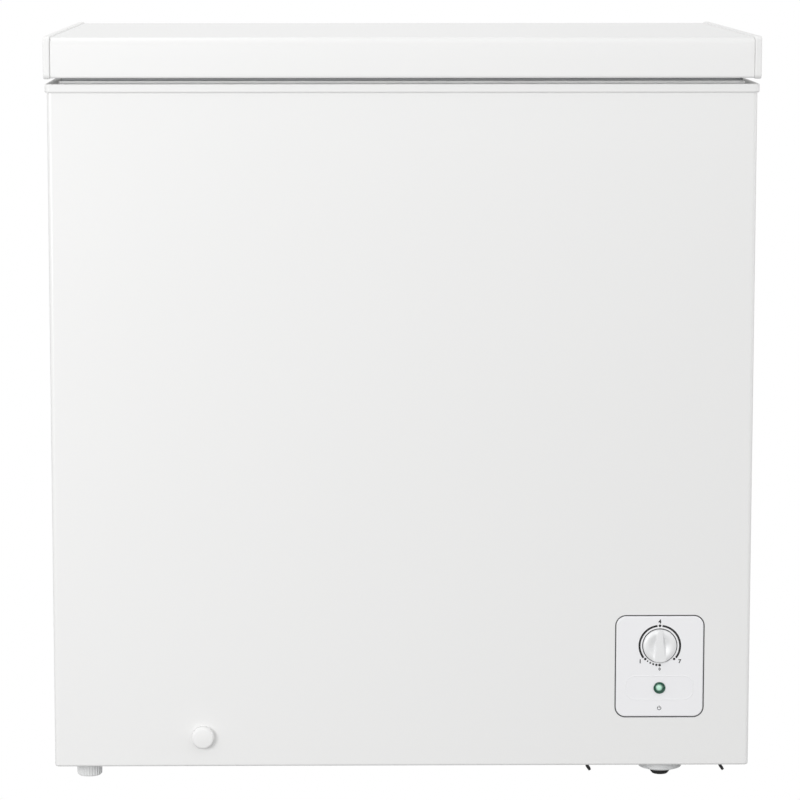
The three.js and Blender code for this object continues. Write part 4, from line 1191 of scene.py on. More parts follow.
# ---------------------------------------------------------------- lid


def lid_profile(inward, bottom, edge):
    """The lid skin's section as (y, z), drawn in by a distance."""
    low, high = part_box("lid_skin")
    y0, y1 = low.y + inward, high.y - inward
    return [(y0, bottom, 0), (y0, high.z - inward, edge - inward), (y1, high.z - inward, edge - inward),
            (y1, bottom, 0)]


class FREEZER_OT_lid_skin(FreezerStep):
    """Build the lid's painted skin: one sheet over the top, front and back, with hems turned in."""

    bl_idname = "freezer.lid_skin"
    bl_label = "Lid skin"

    def execute(self, context):
        size = settings("lid")
        t = settings("cabinet").sheet
        low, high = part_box("lid_skin")
        hem, bend = 0.012, 0.0025
        outer = lid_profile(0, low.z, size.edge)
        outer[0] = (low.y, low.z, bend)
        outer[3] = (high.y, low.z, bend)
        outer = [(low.y + hem, low.z, 0), *outer, (high.y - hem, low.z, 0)]
        inner = [(y + (t if y < 0 else -t), z + t if z < low.z + 0.001 else z - t, max(r - t, 0))
                 for y, z, r in outer]
        inner[0] = (low.y + hem, low.z + t, 0)
        inner[-1] = (high.y - hem, low.z + t, 0)
        section = rounded_line(outer, False, 10) + rounded_line(inner[::-1], False, 10)
        rows = [[(x, p.x, p.y) for p in section] for x in (low.x, high.x)]
        sheet = skin("lid_sheet", rows, close_columns=True, cap_rows=True)
        finished(smooth(sheet, 40), white_enamel, "white_enamel", "lid_skin")
        return {"FINISHED"}


class FREEZER_OT_lid_caps(FreezerStep):
    """Build the moulded caps at the lid's two ends."""

    bl_idname = "freezer.lid_caps"
    bl_label = "Lid end caps"

    def execute(self, context):
        for side in ("left", "right"):
            node = "lid_cap_" + side
            low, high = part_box(node)
            line = rectangle(low.y, high.y, low.z, high.z, 0.005, 8)
            cap = prism("end_cap_" + side, line, "x", low.x, high.x)
            soften(cap, settings("lid").cap_edge, 4)
            finished(cap, white_moulding, "white_plastic", node)
        return {"FINISHED"}


class FREEZER_OT_lid_inside(FreezerStep):
    """Build the lid's moulded inner panel and its seal."""

    bl_idname = "freezer.lid_inside"
    bl_label = "Lid inside"

    def execute(self, context):
        self.inner_panel()
        self.seal()
        return {"FINISHED"}

    def inner_panel(self):
        low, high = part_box("lid_inner_panel")
        trim_low, trim_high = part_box("rim_trim")
        flange_bottom = high.z - 0.002
        inset = 0.082
        x0, x1 = trim_low.x + inset, trim_high.x - inset
        y0, y1 = trim_low.y + 0.0022 + inset, trim_high.y - 0.0022 - inset

        def loop(grow, z, corner):
            return [(p.x, p.y, z) for p in rectangle(x0 - grow, x1 + grow, y0 - grow, y1 + grow, corner, 8)]

        def outer_loop(z, shrink=0.0):
            line = rectangle(low.x + shrink, high.x - shrink, low.y + shrink, high.y - shrink, 0.004, 8)
            return [(p.x, p.y, z) for p in line]

        bottom = low.z
        drop = flange_bottom - bottom
        rows = [outer_loop(high.z), outer_loop(flange_bottom)]
        for k in range(7):
            a = math.pi / 2 * k / 6
            down = flange_bottom - drop * 0.5 * (1 - math.cos(a))
            rows.append(loop(drop * 0.5 * (1 - math.sin(a)), down, 0.028))
        for k in range(1, 7):
            a = math.pi / 2 * k / 6
            rows.append(loop(-drop * 0.5 * (1 - math.cos(a)), bottom + drop * 0.5 * (1 - math.sin(a)), 0.026))
        for grow, z, corner in ((-0.040, bottom, 0.020), (-0.042, bottom + 0.0004, 0.019),
                                (-0.045, bottom + 0.0012, 0.018), (-0.048, bottom + 0.0015, 0.016)):
            rows.append(loop(grow, z, corner))
        panel = skin("lid_moulded_panel", rows, close_columns=True, cap_rows=True)
        finished(smooth(panel, 50), white_moulding, "inner_panel_plastic", "lid_inner_panel")

    def seal(self):
        """A hollow-looking bellows strip: wide foot above, pinched waist, rounded magnet below."""
        low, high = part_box("lid_seal")
        width = 0.020
        height = high.z - low.z
        section = rounded_line([
            (0.0006, low.z, 0.0009), (0, low.z + 0.4 * height, 0.0006),
            (0.0022, low.z + 0.62 * height, 0.0005),
            (0.0002, low.z + 0.80 * height, 0.0004), (0.0002, high.z, 0.0002), (width, high.z, 0.0002),
            (width, low.z + 0.80 * height, 0.0004), (width - 0.0022, low.z + 0.62 * height, 0.0005),
            (width, low.z + 0.4 * height, 0.0006), (width - 0.0006, low.z, 0.0009),
        ], True, 4)
        strip = ring_of("lid_seal_strip", ((low.x, high.x), (low.y, high.y)), section, lambda inset: 0.010)
        finished(smooth(strip, 50), seal_rubber, "seal", "lid_seal")


# ---------------------------------------------------------------- hinges


def screw_head(radius):
    """A pan-head screw at the origin, facing +Z, with a cross recess."""
    rise = radius * 0.55
    steps = 5
    dome = [(0, -0.0002), (radius, -0.0002), (radius, rise * 0.35)]
    for k in range(1, steps):
        a = math.pi / 2 * k / steps
        dome.append((radius * math.cos(a) * 0.98, rise * (0.35 + 0.65 * math.sin(a))))
    dome.append((0, rise))
    head = turned("screw", dome, (0, 0, 0), "z", 20)
    w, l, deep = radius * 0.16, radius * 0.58, rise * 0.35
    slots = [
        prism("slot", [(-a, -b), (a, -b), (a, b), (-a, b)], "z", deep, rise * 2) for a, b in ((w, l), (l, w))
    ]
    cut(head, *slots)
    head.data.shade_smooth()
    head.data.set_sharp_from_angle(angle=math.radians(40))
    return head


def screws(name, places, direction, body, radius=None):
    """Sheet screws at places, facing a direction: +Y, +X or -Z."""
    turns = {"+Y": (-math.pi / 2, 0, 0), "+X": (0, math.pi / 2, 0), "-Z": (math.pi, 0, 0)}
    head = screw_head(radius or settings("machine").screw)
    made = scatter(name, head, [(p, turns[direction], 1) for p in places], zinc_steel)
    return finished(made, zinc_steel, "steel", body=body)


class FREEZER_OT_hinges(FreezerStep):
    """Finish both hinges: bases, leaves, pins, springs and their screws."""

    bl_idname = "freezer.hinges"
    bl_label = "Hinges"

    def execute(self, context):
        base_screws, leaf_screws = [], []
        for side in ("left", "right"):
            for part, width in (("base", 0.0006), ("leaf", 0.0006), ("pin", 0.0004)):
                node = f"hinge_{part}_{side}"
                finished(refined(node, width), zinc_steel, "steel", node)
            self.spring(side)
            low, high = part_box("hinge_base_" + side)
            middle = (low.x + high.x) / 2
            base_screws += [(middle + dx, low.y + 0.002, low.z + dz)
                            for dx, dz in ((-0.020, 0.012), (0.020, 0.012), (0, 0.030))]
            low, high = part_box("hinge_leaf_" + side)
            leaf_screws += [(middle, low.y + 0.0025, high.z - dz) for dz in (0.010, 0.026)]
        screws("hinge_base_screws", base_screws, "+Y", "cabinet")
        screws("hinge_leaf_screws", leaf_screws, "+Y", "lid")
        return {"FINISHED"}

    def spring(self, side):
        """A round-wire coil that fills the frame spring's box."""
        node = "hinge_spring_" + side
        low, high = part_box(node)
        wire, turns, per_turn = 0.0009, 4, 24
        radius = (high.z - low.z) / 2 - wire
        centre = (low + high) / 2
        line = []
        for k in range(turns * per_turn + 1):
            a = TAU * k / per_turn
            x = low.x + wire + (high.x - low.x - 2 * wire) * k / (turns * per_turn)
            line.append((x, centre.y + radius * math.cos(a), centre.z + radius * math.sin(a)))
        coil = wires("coil_" + side, [(line, False)], wire, zinc_steel)
        finished(coil, zinc_steel, "steel", node)


# ---------------------------------------------------------------- basket


class FREEZER_OT_basket(FreezerStep):
    """Weave the coated wire basket with its rim, its hangers and two grips."""

    bl_idname = "freezer.basket"
    bl_label = "Storage basket"

    def execute(self, context):
        size = settings("basket")
        low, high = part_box("storage_basket")
        hanger_reach = 0.0212
        r = size.rim
        x0, x1 = low.x + r, high.x - r
        y0, y1 = low.y + hanger_reach + r, high.y - hanger_reach - r
        z0, z1 = low.z + 2 * size.wire, high.z - r
        bend = 0.018
        parts = []

        span = (y1 - y0 - 0.030) / (size.along - 1)
        hoop = [(x0, y0 + 0.015, z1), (x0, y0 + 0.015, z0), (x1, y0 + 0.015, z0), (x1, y0 + 0.015, z1)]
        parts.append(wires("cross_hoops", [(bent_path(hoop, bend), False)], size.wire, coated_wire,
                           size.along, (0, span, 0)))
        span = (x1 - x0 - 0.030) / (size.across - 1)
        under = z0 + 2 * size.wire
        hoop = [(x0 + 0.015, y0, z1), (x0 + 0.015, y0, under), (x0 + 0.015, y1, under), (x0 + 0.015, y1, z1)]
        parts.append(wires("long_hoops", [(bent_path(hoop, bend), False)], size.wire, coated_wire,
                           size.across, (span, 0, 0)))
        inset = 2 * size.wire
        plan = rectangle(x0 + inset, x1 - inset, y0 + inset, y1 - inset, 0.022, 8)
        level = [(p.x, p.y, z0 + 0.045) for p in plan]
        rise = (z1 - z0 - 0.045) / (size.rings + 1)
        parts.append(wires("level_rings", [(level, True)], size.wire, coated_wire, size.rings, (0, 0, rise)))
        rim = [(p.x, p.y, z1) for p in rectangle(x0, x1, y0, y1, 0.024, 8)]
        parts.append(wires("top_rim", [(rim, True)], r, coated_wire))
        parts.append(wires("hangers", [(self.hanger(end, z1), False) for end in (-1, 1)], r, coated_wire))
        finished(fuse("wire_basket", *parts), coated_wire, "coated_wire", "storage_basket")
        self.grips(z1)
        return {"FINISHED"}

    def hanger(self, end, z):
        """A loop of rim wire that reaches out over the ledge."""
        low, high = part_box("storage_basket")
        middle = (low.x + high.x) / 2
        r = settings("basket").rim
        outer = (high.y - r) if end > 0 else (low.y + r)
        inner = outer - end * 0.020
        half = 0.060 - r
        corners = [(middle - half, inner, z), (middle - half, outer, z), (middle + half, outer, z),
                   (middle + half, inner, z)]
        return bent_path(corners, 0.008)

    def grips(self, z):
        """Moulded grips clipped on the rim's two short sides."""
        low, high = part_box("storage_basket")
        middle = (low.y + high.y) / 2
        for side, x in (("left", low.x), ("right", high.x)):
            inward = 1 if side == "left" else -1
            r = settings("basket").rim
            centre = (x + inward * (r + 0.0006), middle, z - 0.0022)
            half = 0.045
            profile = [(0, -half), (0.0030, -half), (0.0042, -half + 0.003), (0.0044, 0),
                       (0.0042, half - 0.003), (0.0030, half), (0, half)]
            grip = turned("basket_grip_" + side, profile, centre, "y", 24)
            grip.data.transform(Matrix.Translation((inward * 0.0016, 0, 0)))
            finished(smooth(grip, 50), grey_plastic, "grey_plastic", body="basket")


# ---------------------------------------------------------------- drain, feet and base


class FREEZER_OT_drain(FreezerStep):
    """Build the drain's outer cap and its plug in the tub floor."""

    bl_idname = "freezer.drain"
    bl_label = "Drain"

    def execute(self, context):
        low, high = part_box("drain_cap")
        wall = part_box("cabinet_wrap")[0].y
        radius = (high.x - low.x) / 2
        centre = ((low.x + high.x) / 2, 0, (low.z + high.z) / 2)
        root, front = wall - 0.0003, low.y
        edge = 0.0030
        cap = [(0, high.y), (0.0048, high.y), (0.0056, high.y - 0.001), (0.0056, root),
               (radius - 0.0008, root),
               (radius, root - 0.0008)]
        for k in range(7):
            a = math.pi / 2 * k / 6
            cap.append((radius - edge + edge * math.cos(a), front + 0.0007 + edge - edge * math.sin(a)))
        cap += [(radius * 0.45, front + 0.0002), (0, front)]
        finished(smooth(turned("drain_outer_cap", cap, centre, "y", 64), 50), white_moulding, "white_plastic",
                 "drain_cap")
        low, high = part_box("drain_plug")
        centre = ((low.x + high.x) / 2, (low.y + high.y) / 2, 0)
        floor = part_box("inner_liner")[0].z + 0.0013
        radius = (high.x - low.x) / 2
        plug = [(0, low.z), (0.0050, low.z), (0.0056, low.z + 0.001), (0.0056, floor),
                (radius - 0.0006, floor),
                (radius, floor + 0.0006), (radius, floor + 0.0016), (radius - 0.0010, floor + 0.0025),
                (0.0052, floor + 0.0038), (0.0042, floor + 0.0060), (0.0040, high.z - 0.0016),
                (0.0030, high.z - 0.0004), (0.0016, high.z), (0, high.z)]
        finished(smooth(turned("drain_floor_plug", plug, centre, "z", 48), 50), white_moulding,
                 "white_plastic", "drain_plug")
        return {"FINISHED"}


class FREEZER_OT_feet(FreezerStep):
    """Build the ribbed levelling feet, and the dished supports with their rubber pads."""

    bl_idname = "freezer.feet"
    bl_label = "Feet"

    def execute(self, context):
        for end in ("front", "back"):
            self.levelling_foot(f"foot_{end}_left")
            self.dished_support(f"foot_cup_{end}_right")
            self.rubber_pad(f"foot_pad_{end}_right")
        return {"FINISHED"}

    def levelling_foot(self, node):
        low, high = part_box(node)
        centre = ((low.x + high.x) / 2, (low.y + high.y) / 2, 0)
        radius = (high.x - low.x) / 2
        height, rib = 0.016, 0.0009
        core = radius - rib * 0.7
        profile = [(0, 0), (core - 0.0030, 0), (core - 0.0012, 0.0005), (core, 0.0022),
                   (core, height - 0.002),
                   (core - 0.0012, height - 0.0004), (core - 0.0025, height), (0.0042, height)]
        thread_step, crest = 0.00125, 0.0004
        turns = int((high.z - height) / thread_step)
        for k in range(turns):
            z = height + k * thread_step
            profile += [(0.0042 - crest, z + 0.3 * thread_step), (0.0042, z + 0.8 * thread_step)]
        profile += [(0.0036, high.z), (0, high.z)]
        foot = turned("foot_core", profile, centre, "z", 64)
        count = settings("machine").foot_ribs
        one = prism("rib", rectangle(-rib, rib, -rib, rib, rib * 0.9, 4), "z", 0.0022, height - 0.0022)
        places = []
        for k in range(count):
            a = TAU * k / count
            reach = radius - rib
            place = (centre[0] + reach * math.cos(a), centre[1] + reach * math.sin(a), 0)
            places.append((place, (0, 0, a), 1))
        ribs = scatter("ribs", one, places, grey_plastic)
        finished(smooth(fuse(node + "_ribbed", foot, ribs), 40), grey_plastic, "grey_plastic", node)

    def dished_support(self, node):
        low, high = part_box(node)
        centre = ((low.x + high.x) / 2, (low.y + high.y) / 2, 0)
        radius = (high.x - low.x) / 2
        t = 0.0014
        flat, flare = 0.017, 0.0026
        outer = rounded_line([(0.0001, low.z, 0), (flat, low.z, 0.003), (radius, low.z + flare, 0.0016),
                              (radius, high.z, 0)], False, 5)
        inner = rounded_line([(radius - t, high.z, 0), (radius - t, low.z + flare + t * 0.7, 0.0008),
                              (flat - t * 0.4, low.z + t, 0.003), (0.0001, low.z + t, 0)], False, 5)
        profile = [(0, low.z), *[tuple(p) for p in outer], *[tuple(p) for p in inner], (0, low.z + t)]
        finished(smooth(turned(node + "_pressed", profile, centre, "z", 64), 40), bright_zinc,
                 "galvanised", node)

    def rubber_pad(self, node):
        low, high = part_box(node)
        centre = ((low.x + high.x) / 2, (low.y + high.y) / 2, 0)
        radius = (high.x - low.x) / 2
        line = rounded_line([(0.0001, low.z, 0), (radius - 0.0024, low.z, 0.0012),
                             (radius, low.z + 0.0028, 0.0014), (radius, high.z, 0.0003),
                             (0.0001, high.z, 0)], False, 4)
        profile = [(0, low.z), *[tuple(p) for p in line], (0, high.z)]
        pad = turned(node + "_moulded", profile, centre, "z", 48)
        finished(smooth(pad, 50), black_rubber, "rubber", node)


class FREEZER_OT_base(FreezerStep):
    """Finish the pressed base parts, the back panel and the screws that hold them."""

    bl_idname = "freezer.base"
    bl_label = "Base and back"

    def execute(self, context):
        finished(refined("compressor_base", 0.0003), black_enamel, "black_enamel", "compressor_base")
        for node in ("bottom_pan", "machine_bulkhead"):
            finished(refined(node, 0), galvanised_sheet, "galvanised", node)
        self.back_panel()
        wrap_low, wrap_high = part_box("cabinet_wrap")
        rows, inward, margin = 5, 0.007, 0.06
        rise = (wrap_high.z - wrap_low.z - 2 * margin) / (rows - 1)
        above_cover = 2
        flange = [(side * (wrap_high.x - inward), wrap_high.y, wrap_low.z + margin + k * rise)
                  for side in (-1, 1) for k in range(rows) if side < 0 or k >= above_cover]
        screws("back_flange_screws", flange, "+Y", "cabinet", 0.0032)
        self.foam_plugs()
        return {"FINISHED"}

    def back_panel(self):
        """The back panel has a stiffening step pressed round its middle."""
        low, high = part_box("back_panel")
        sheet = refined("back_panel", 0, "pressed_back_panel")
        finished(sheet, galvanised_sheet, "galvanised", "back_panel")
        border, deep = 0.07, 0.0011
        x0, x1 = low.x + border, high.x - border
        z0, z1 = 0.31, high.z - 0.10
        rows = []
        for inset, lift in ((0, 0.0), (0.003, deep), (0.010, deep), (0.013, 0.0)):
            line = rectangle(x0 + inset, x1 - inset, z0 + inset, z1 - inset, 0.03 - inset, 10)
            rows.append([(p.x, high.y - 0.0002 + lift, p.y) for p in line])
        rows.append([(x, y - 0.0003, z) for x, y, z in rows[-1]])
        rows.append([(x, y - 0.0003, z) for x, y, z in rows[0]])
        bead = skin("back_panel_bead", rows, close_rows=True, close_columns=True)
        finished(smooth(bead, 50), galvanised_sheet, "galvanised", body="cabinet")

    def foam_plugs(self):
        """Plastic plugs in the holes that the foam was poured through."""
        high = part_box("back_panel")[1]
        plug = turned("foam_plug", [(0, -0.0005), (0.012, -0.0005), (0.012, 0.0006), (0.0105, 0.0014),
                                    (0.0072, 0.0012), (0.0065, 0.0006), (0, 0.0006)], (0, 0, 0), "z", 40)
        places = [((x, high.y, 0.22), (-math.pi / 2, 0, 0), 1) for x in (-0.25, -0.02)]
        finished(smooth(scatter("foam_plugs", plug, places, white_moulding), 50), white_moulding,
                 "white_plastic", body="cabinet")


# ---------------------------------------------------------------- machine compartment


class FREEZER_OT_machine(FreezerStep):
    """Build the compressor, its pipes and the small parts round it."""

    bl_idname = "freezer.machine"
    bl_label = "Compressor"

    def execute(self, context):
        self.compressor()
        for node, maker, slot, width in (
            ("relay_cover", dark_plastic, "dark_plastic", 0.003),
            ("thermostat", dark_plastic, "dark_plastic", 0.0012),
            ("lamp_holder", dark_plastic, "dark_plastic", 0.0006),
            ("thermostat_shaft", zinc_steel, "steel", 0.0004),
        ):
            finished(refined(node, width), maker, slot, node)
        for end in ("front", "back"):
            for side in ("left", "right"):
                self.grommet(f"compressor_grommet_{end}_{side}")
        self.drier()
        for node in ("suction_pipe", "discharge_pipe"):
            self.pipe(node)
        return {"FINISHED"}

    def compressor(self):
        """Two pressed halves that meet in a welded flange, on a pressed foot plate."""
        low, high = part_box("compressor_shell")
        centre = ((low.x + high.x) / 2, (low.y + high.y) / 2, 0)
        foot_top = low.z + 0.004
        radius = (high.y - low.y) / 2 / 1.12 - 0.0012
        seam = low.z + 0.083
        line = rounded_line([
            (0.0001, foot_top, 0), (radius * 0.70, foot_top, 0.010), (radius * 0.97, foot_top + 0.022, 0.016),
            (radius - 0.002, seam - 0.004, 0.0005), (radius, seam - 0.003, 0.001),
            (radius, seam + 0.003, 0.001),
            (radius - 0.002, seam + 0.004, 0.0005), (radius * 0.95, high.z - 0.034, 0.020),
            (radius * 0.62, high.z - 0.004, 0.026), (0.0001, high.z, 0),
        ], False, 8)
        pot = turned("pot", [(0, foot_top), *[tuple(p) for p in line], (0, high.z)], centre, "z", 72)
        stretch = Matrix.Diagonal((1, 1.12, 1, 1))
        oval = Matrix.Translation(centre) @ stretch @ Matrix.Translation(-Vector(centre))
        pot.data.transform(oval)
        plate = prism("plate", rectangle(low.x, high.x, low.y, high.y, 0.014), "z", low.z, foot_top)
        shell = fuse("compressor_pot", pot, plate)
        finished(smooth(shell, 40), black_enamel, "black_enamel", "compressor_shell")

    def grommet(self, node):
        low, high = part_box(node)
        centre = ((low.x + high.x) / 2, (low.y + high.y) / 2, 0)
        radius, waist = (high.x - low.x) / 2, 0.0062
        middle = (low.z + high.z) / 2
        line = rounded_line([
            (0.0001, low.z, 0), (radius, low.z, 0.001), (radius, middle - 0.003, 0.001),
            (waist, middle - 0.002, 0.0006), (waist, middle + 0.002, 0.0006), (radius, middle + 0.003, 0.001),
            (radius, high.z, 0.001), (0.0001, high.z, 0),
        ], False, 3)
        profile = [(0, low.z), *[tuple(p) for p in line], (0, high.z)]
        grommet = turned(node + "_moulded", profile, centre, "z", 32)
        finished(smooth(grommet, 50), black_rubber, "rubber", node)

    def drier(self):
        low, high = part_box("filter_drier")
        centre = ((low.x + high.x) / 2, (low.y + high.y) / 2, 0)
        radius = (high.x - low.x) / 2
        neck = 0.0026
        line = rounded_line([
            (0.0001, low.z, 0), (neck, low.z, 0.0003), (neck, low.z + 0.010, 0.001),
            (radius, low.z + 0.022, 0.005),
            (radius, high.z - 0.022, 0.005), (neck, high.z - 0.010, 0.001), (neck, high.z, 0.0003),
            (0.0001, high.z, 0),
        ], False, 5)
        profile = [(0, low.z), *[tuple(p) for p in line], (0, high.z)]
        finished(smooth(turned("filter_drier_shell", profile, centre, "z", 40), 40), copper_tube, "copper",
                 "filter_drier")

    def pipe(self, node):
        """A smooth tube through the frame pipe's ends: out of the pot, then up through the ceiling."""
        low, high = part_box(node)
        radius = 0.0024
        x = (low.x + high.x) / 2
        y_up, y_pot = low.y + radius, high.y
        z_low = low.z + radius
        line = bent_path([(x, y_pot, z_low), (x, y_up, z_low), (x, y_up, high.z)], 0.015, 10)
        tube = wires(node + "_smooth", [(line, False)], radius * 0.97, copper_tube)
        finished(tube, copper_tube, "copper", node)


class FREEZER_OT_covers(FreezerStep):
    """Build the louvred rear cover, the side vent and the cord gland."""

    bl_idname = "freezer.covers"
    bl_label = "Covers and vents"

    def execute(self, context):
        self.rear_cover()
        self.side_vent()
        self.gland()
        return {"FINISHED"}

    def rear_cover(self):
        node = "rear_cover"
        low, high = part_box(node)
        rows = settings("machine").louvre_rows
        bottom, top = 0.060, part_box("machine_bulkhead")[1].z - 0.020
        pitch = (top - bottom) / rows
        columns, width, tall, through = (0.244, 0.334), 0.078, 0.007, 0.002
        middles = [(x, bottom + (k + 0.5) * pitch) for x in columns for k in range(rows)]
        slots = []
        for x, z in middles:
            line = rectangle(x - width / 2, x + width / 2, z - tall / 2, z + tall / 2, 0.002, 4)
            slots.append(prism("slot", line, "y", low.y - through, high.y + through))
        gland_low, gland_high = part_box("cord_gland")
        gland_x, gland_z = (gland_low.x + gland_high.x) / 2, (gland_low.z + gland_high.z) / 2
        radius, steps = 0.0063, 32
        bore = [(gland_x + radius * math.cos(TAU * k / steps), gland_z + radius * math.sin(TAU * k / steps))
                for k in range(steps)]
        slots.append(prism("bore", bore, "y", low.y - through, high.y + through))
        plate = prism("rear_plate", rectangle(low.x, high.x, low.z, high.z, 0.004, 6), "y", low.y, high.y)
        cut(plate, fuse("openings", *slots))
        finished(soften(plate, 0.0003, 2), galvanised_sheet, "galvanised", node)
        hood = self.hood(width)
        places = [((x, high.y, z + tall / 2), (0, 0, 0), 1) for x, z in middles]
        finished(smooth(scatter("rear_louvres", hood, places, galvanised_sheet), 50), galvanised_sheet,
                 "galvanised", body="cabinet")
        inset = 0.008
        corners = [(x, high.y, z) for x in (low.x + inset, high.x - inset)
                   for z in (low.z + inset, (low.z + high.z) / 2, high.z - inset)]
        screws("rear_cover_screws", corners, "+Y", "cabinet")

    def hood(self, width):
        """One pressed louvre: a quarter-round hood over a slot, open below, with rounded ends."""
        deep, high, t = 0.0055, 0.0085, 0.0006
        steps = 8
        shapes = []
        for grow in (0, -t):
            shape = []
            for k in range(steps + 1):
                a = math.pi / 2 * k / steps
                shape.append(((deep + grow) * math.cos(a), -high * (1 - math.sin(a))))
            shapes.append(shape)
        outline = shapes[0] + shapes[1][::-1]
        half = width / 2
        rows = []
        for x, squeeze in ((-half, 0.05), (-half + 0.002, 0.6), (-half + 0.006, 0.95), (-half + 0.010, 1),
                           (half - 0.010, 1), (half - 0.006, 0.95), (half - 0.002, 0.6), (half, 0.05)):
            rows.append([(x, max(y * squeeze, 0) - 0.0002, z) for y, z in outline])
        return skin("hood", rows, close_columns=True, cap_rows=True)

    def side_vent(self):
        """A moulded frame with slanted blades."""
        low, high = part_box("side_vent")
        rim, steps = 0.010, 6
        outer = rectangle(low.y, high.y, low.z, high.z, 0.006, steps)
        inner = rectangle(low.y + rim, high.y - rim, low.z + rim, high.z - rim, 0.003, steps)
        rows = []
        for line, x in ((inner, low.x), (outer, low.x), (outer, high.x - 0.0006), (inner, high.x)):
            rows.append([(x, p.x, p.y) for p in line])
        edge = skin("vent_edge", rows, close_rows=True, close_columns=True)
        count = 10
        pitch = (high.z - low.z - 2 * rim) / count
        t = 0.0008
        blade_line = [(low.x - 0.004, -0.004), (low.x - 0.004 + t, -0.004 - t), (high.x - 0.0003, 0.0016),
                      (high.x - 0.0003, 0.0016 + t)]
        ends = (low.y + rim - 0.001, high.y - rim + 0.001)
        rows = [[(x, y, z) for x, z in blade_line] for y in ends]
        blade = skin("blade", rows, close_columns=True, cap_rows=True)
        places = [((0, 0, low.z + rim + (k + 0.5) * pitch), (0, 0, 0), 1) for k in range(count)]
        blades = scatter("blades", blade, places, white_moulding)
        vent = fuse("side_vent_moulded", edge, blades)
        finished(smooth(vent, 30), white_moulding, "white_plastic", "side_vent")

    def gland(self):
        low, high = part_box("cord_gland")
        centre = ((low.x + high.x) / 2, 0, (low.z + high.z) / 2)
        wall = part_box("rear_cover")[1].y
        bore, body, collar = 0.0035, 0.006, 0.0100
        line = rounded_line([
            (bore, low.y, 0), (body, low.y, 0.0005), (body, wall + 0.0003, 0),
            (collar, wall + 0.0003, 0.0004), (collar, wall + 0.0028, 0.0010),
            (body + 0.0008, wall + 0.0036, 0.0006), (body - 0.0010, high.y, 0.0008),
            (bore, high.y, 0.0004),
        ], True, 3)
        steps = 40
        rows = []
        for k in range(steps):
            a = TAU * k / steps
            rows.append([(centre[0] + p.x * math.cos(a), p.y, centre[2] + p.x * math.sin(a)) for p in line])
        gland = skin("cord_gland_moulded", rows, close_rows=True, close_columns=True)
        finished(smooth(gland, 50), dark_plastic, "dark_plastic", "cord_gland")


class FREEZER_OT_inner_parts(FreezerStep):
    """Give the parts that stay as the frame has them their own finishes."""

    bl_idname = "freezer.inner_parts"
    bl_label = "Inner parts"

    def execute(self, context):
        plain = {
            insulating_foam: ("cabinet_foam", "lid_foam"),
            copper_tube: ("evaporator_coil", "condenser_coil", "thermostat_capillary"),
            white_moulding: ("drain_tube",),
            dark_plastic: ("foot_socket_front_left", "foot_socket_back_left"),
        }
        for maker, nodes in plain.items():
            for node in nodes:
                mesh = frame["nodes"][node].data
                mesh.materials.clear()
                mesh.materials.append(made_once(maker))
        return {"FINISHED"}


# ---------------------------------------------------------------- stage


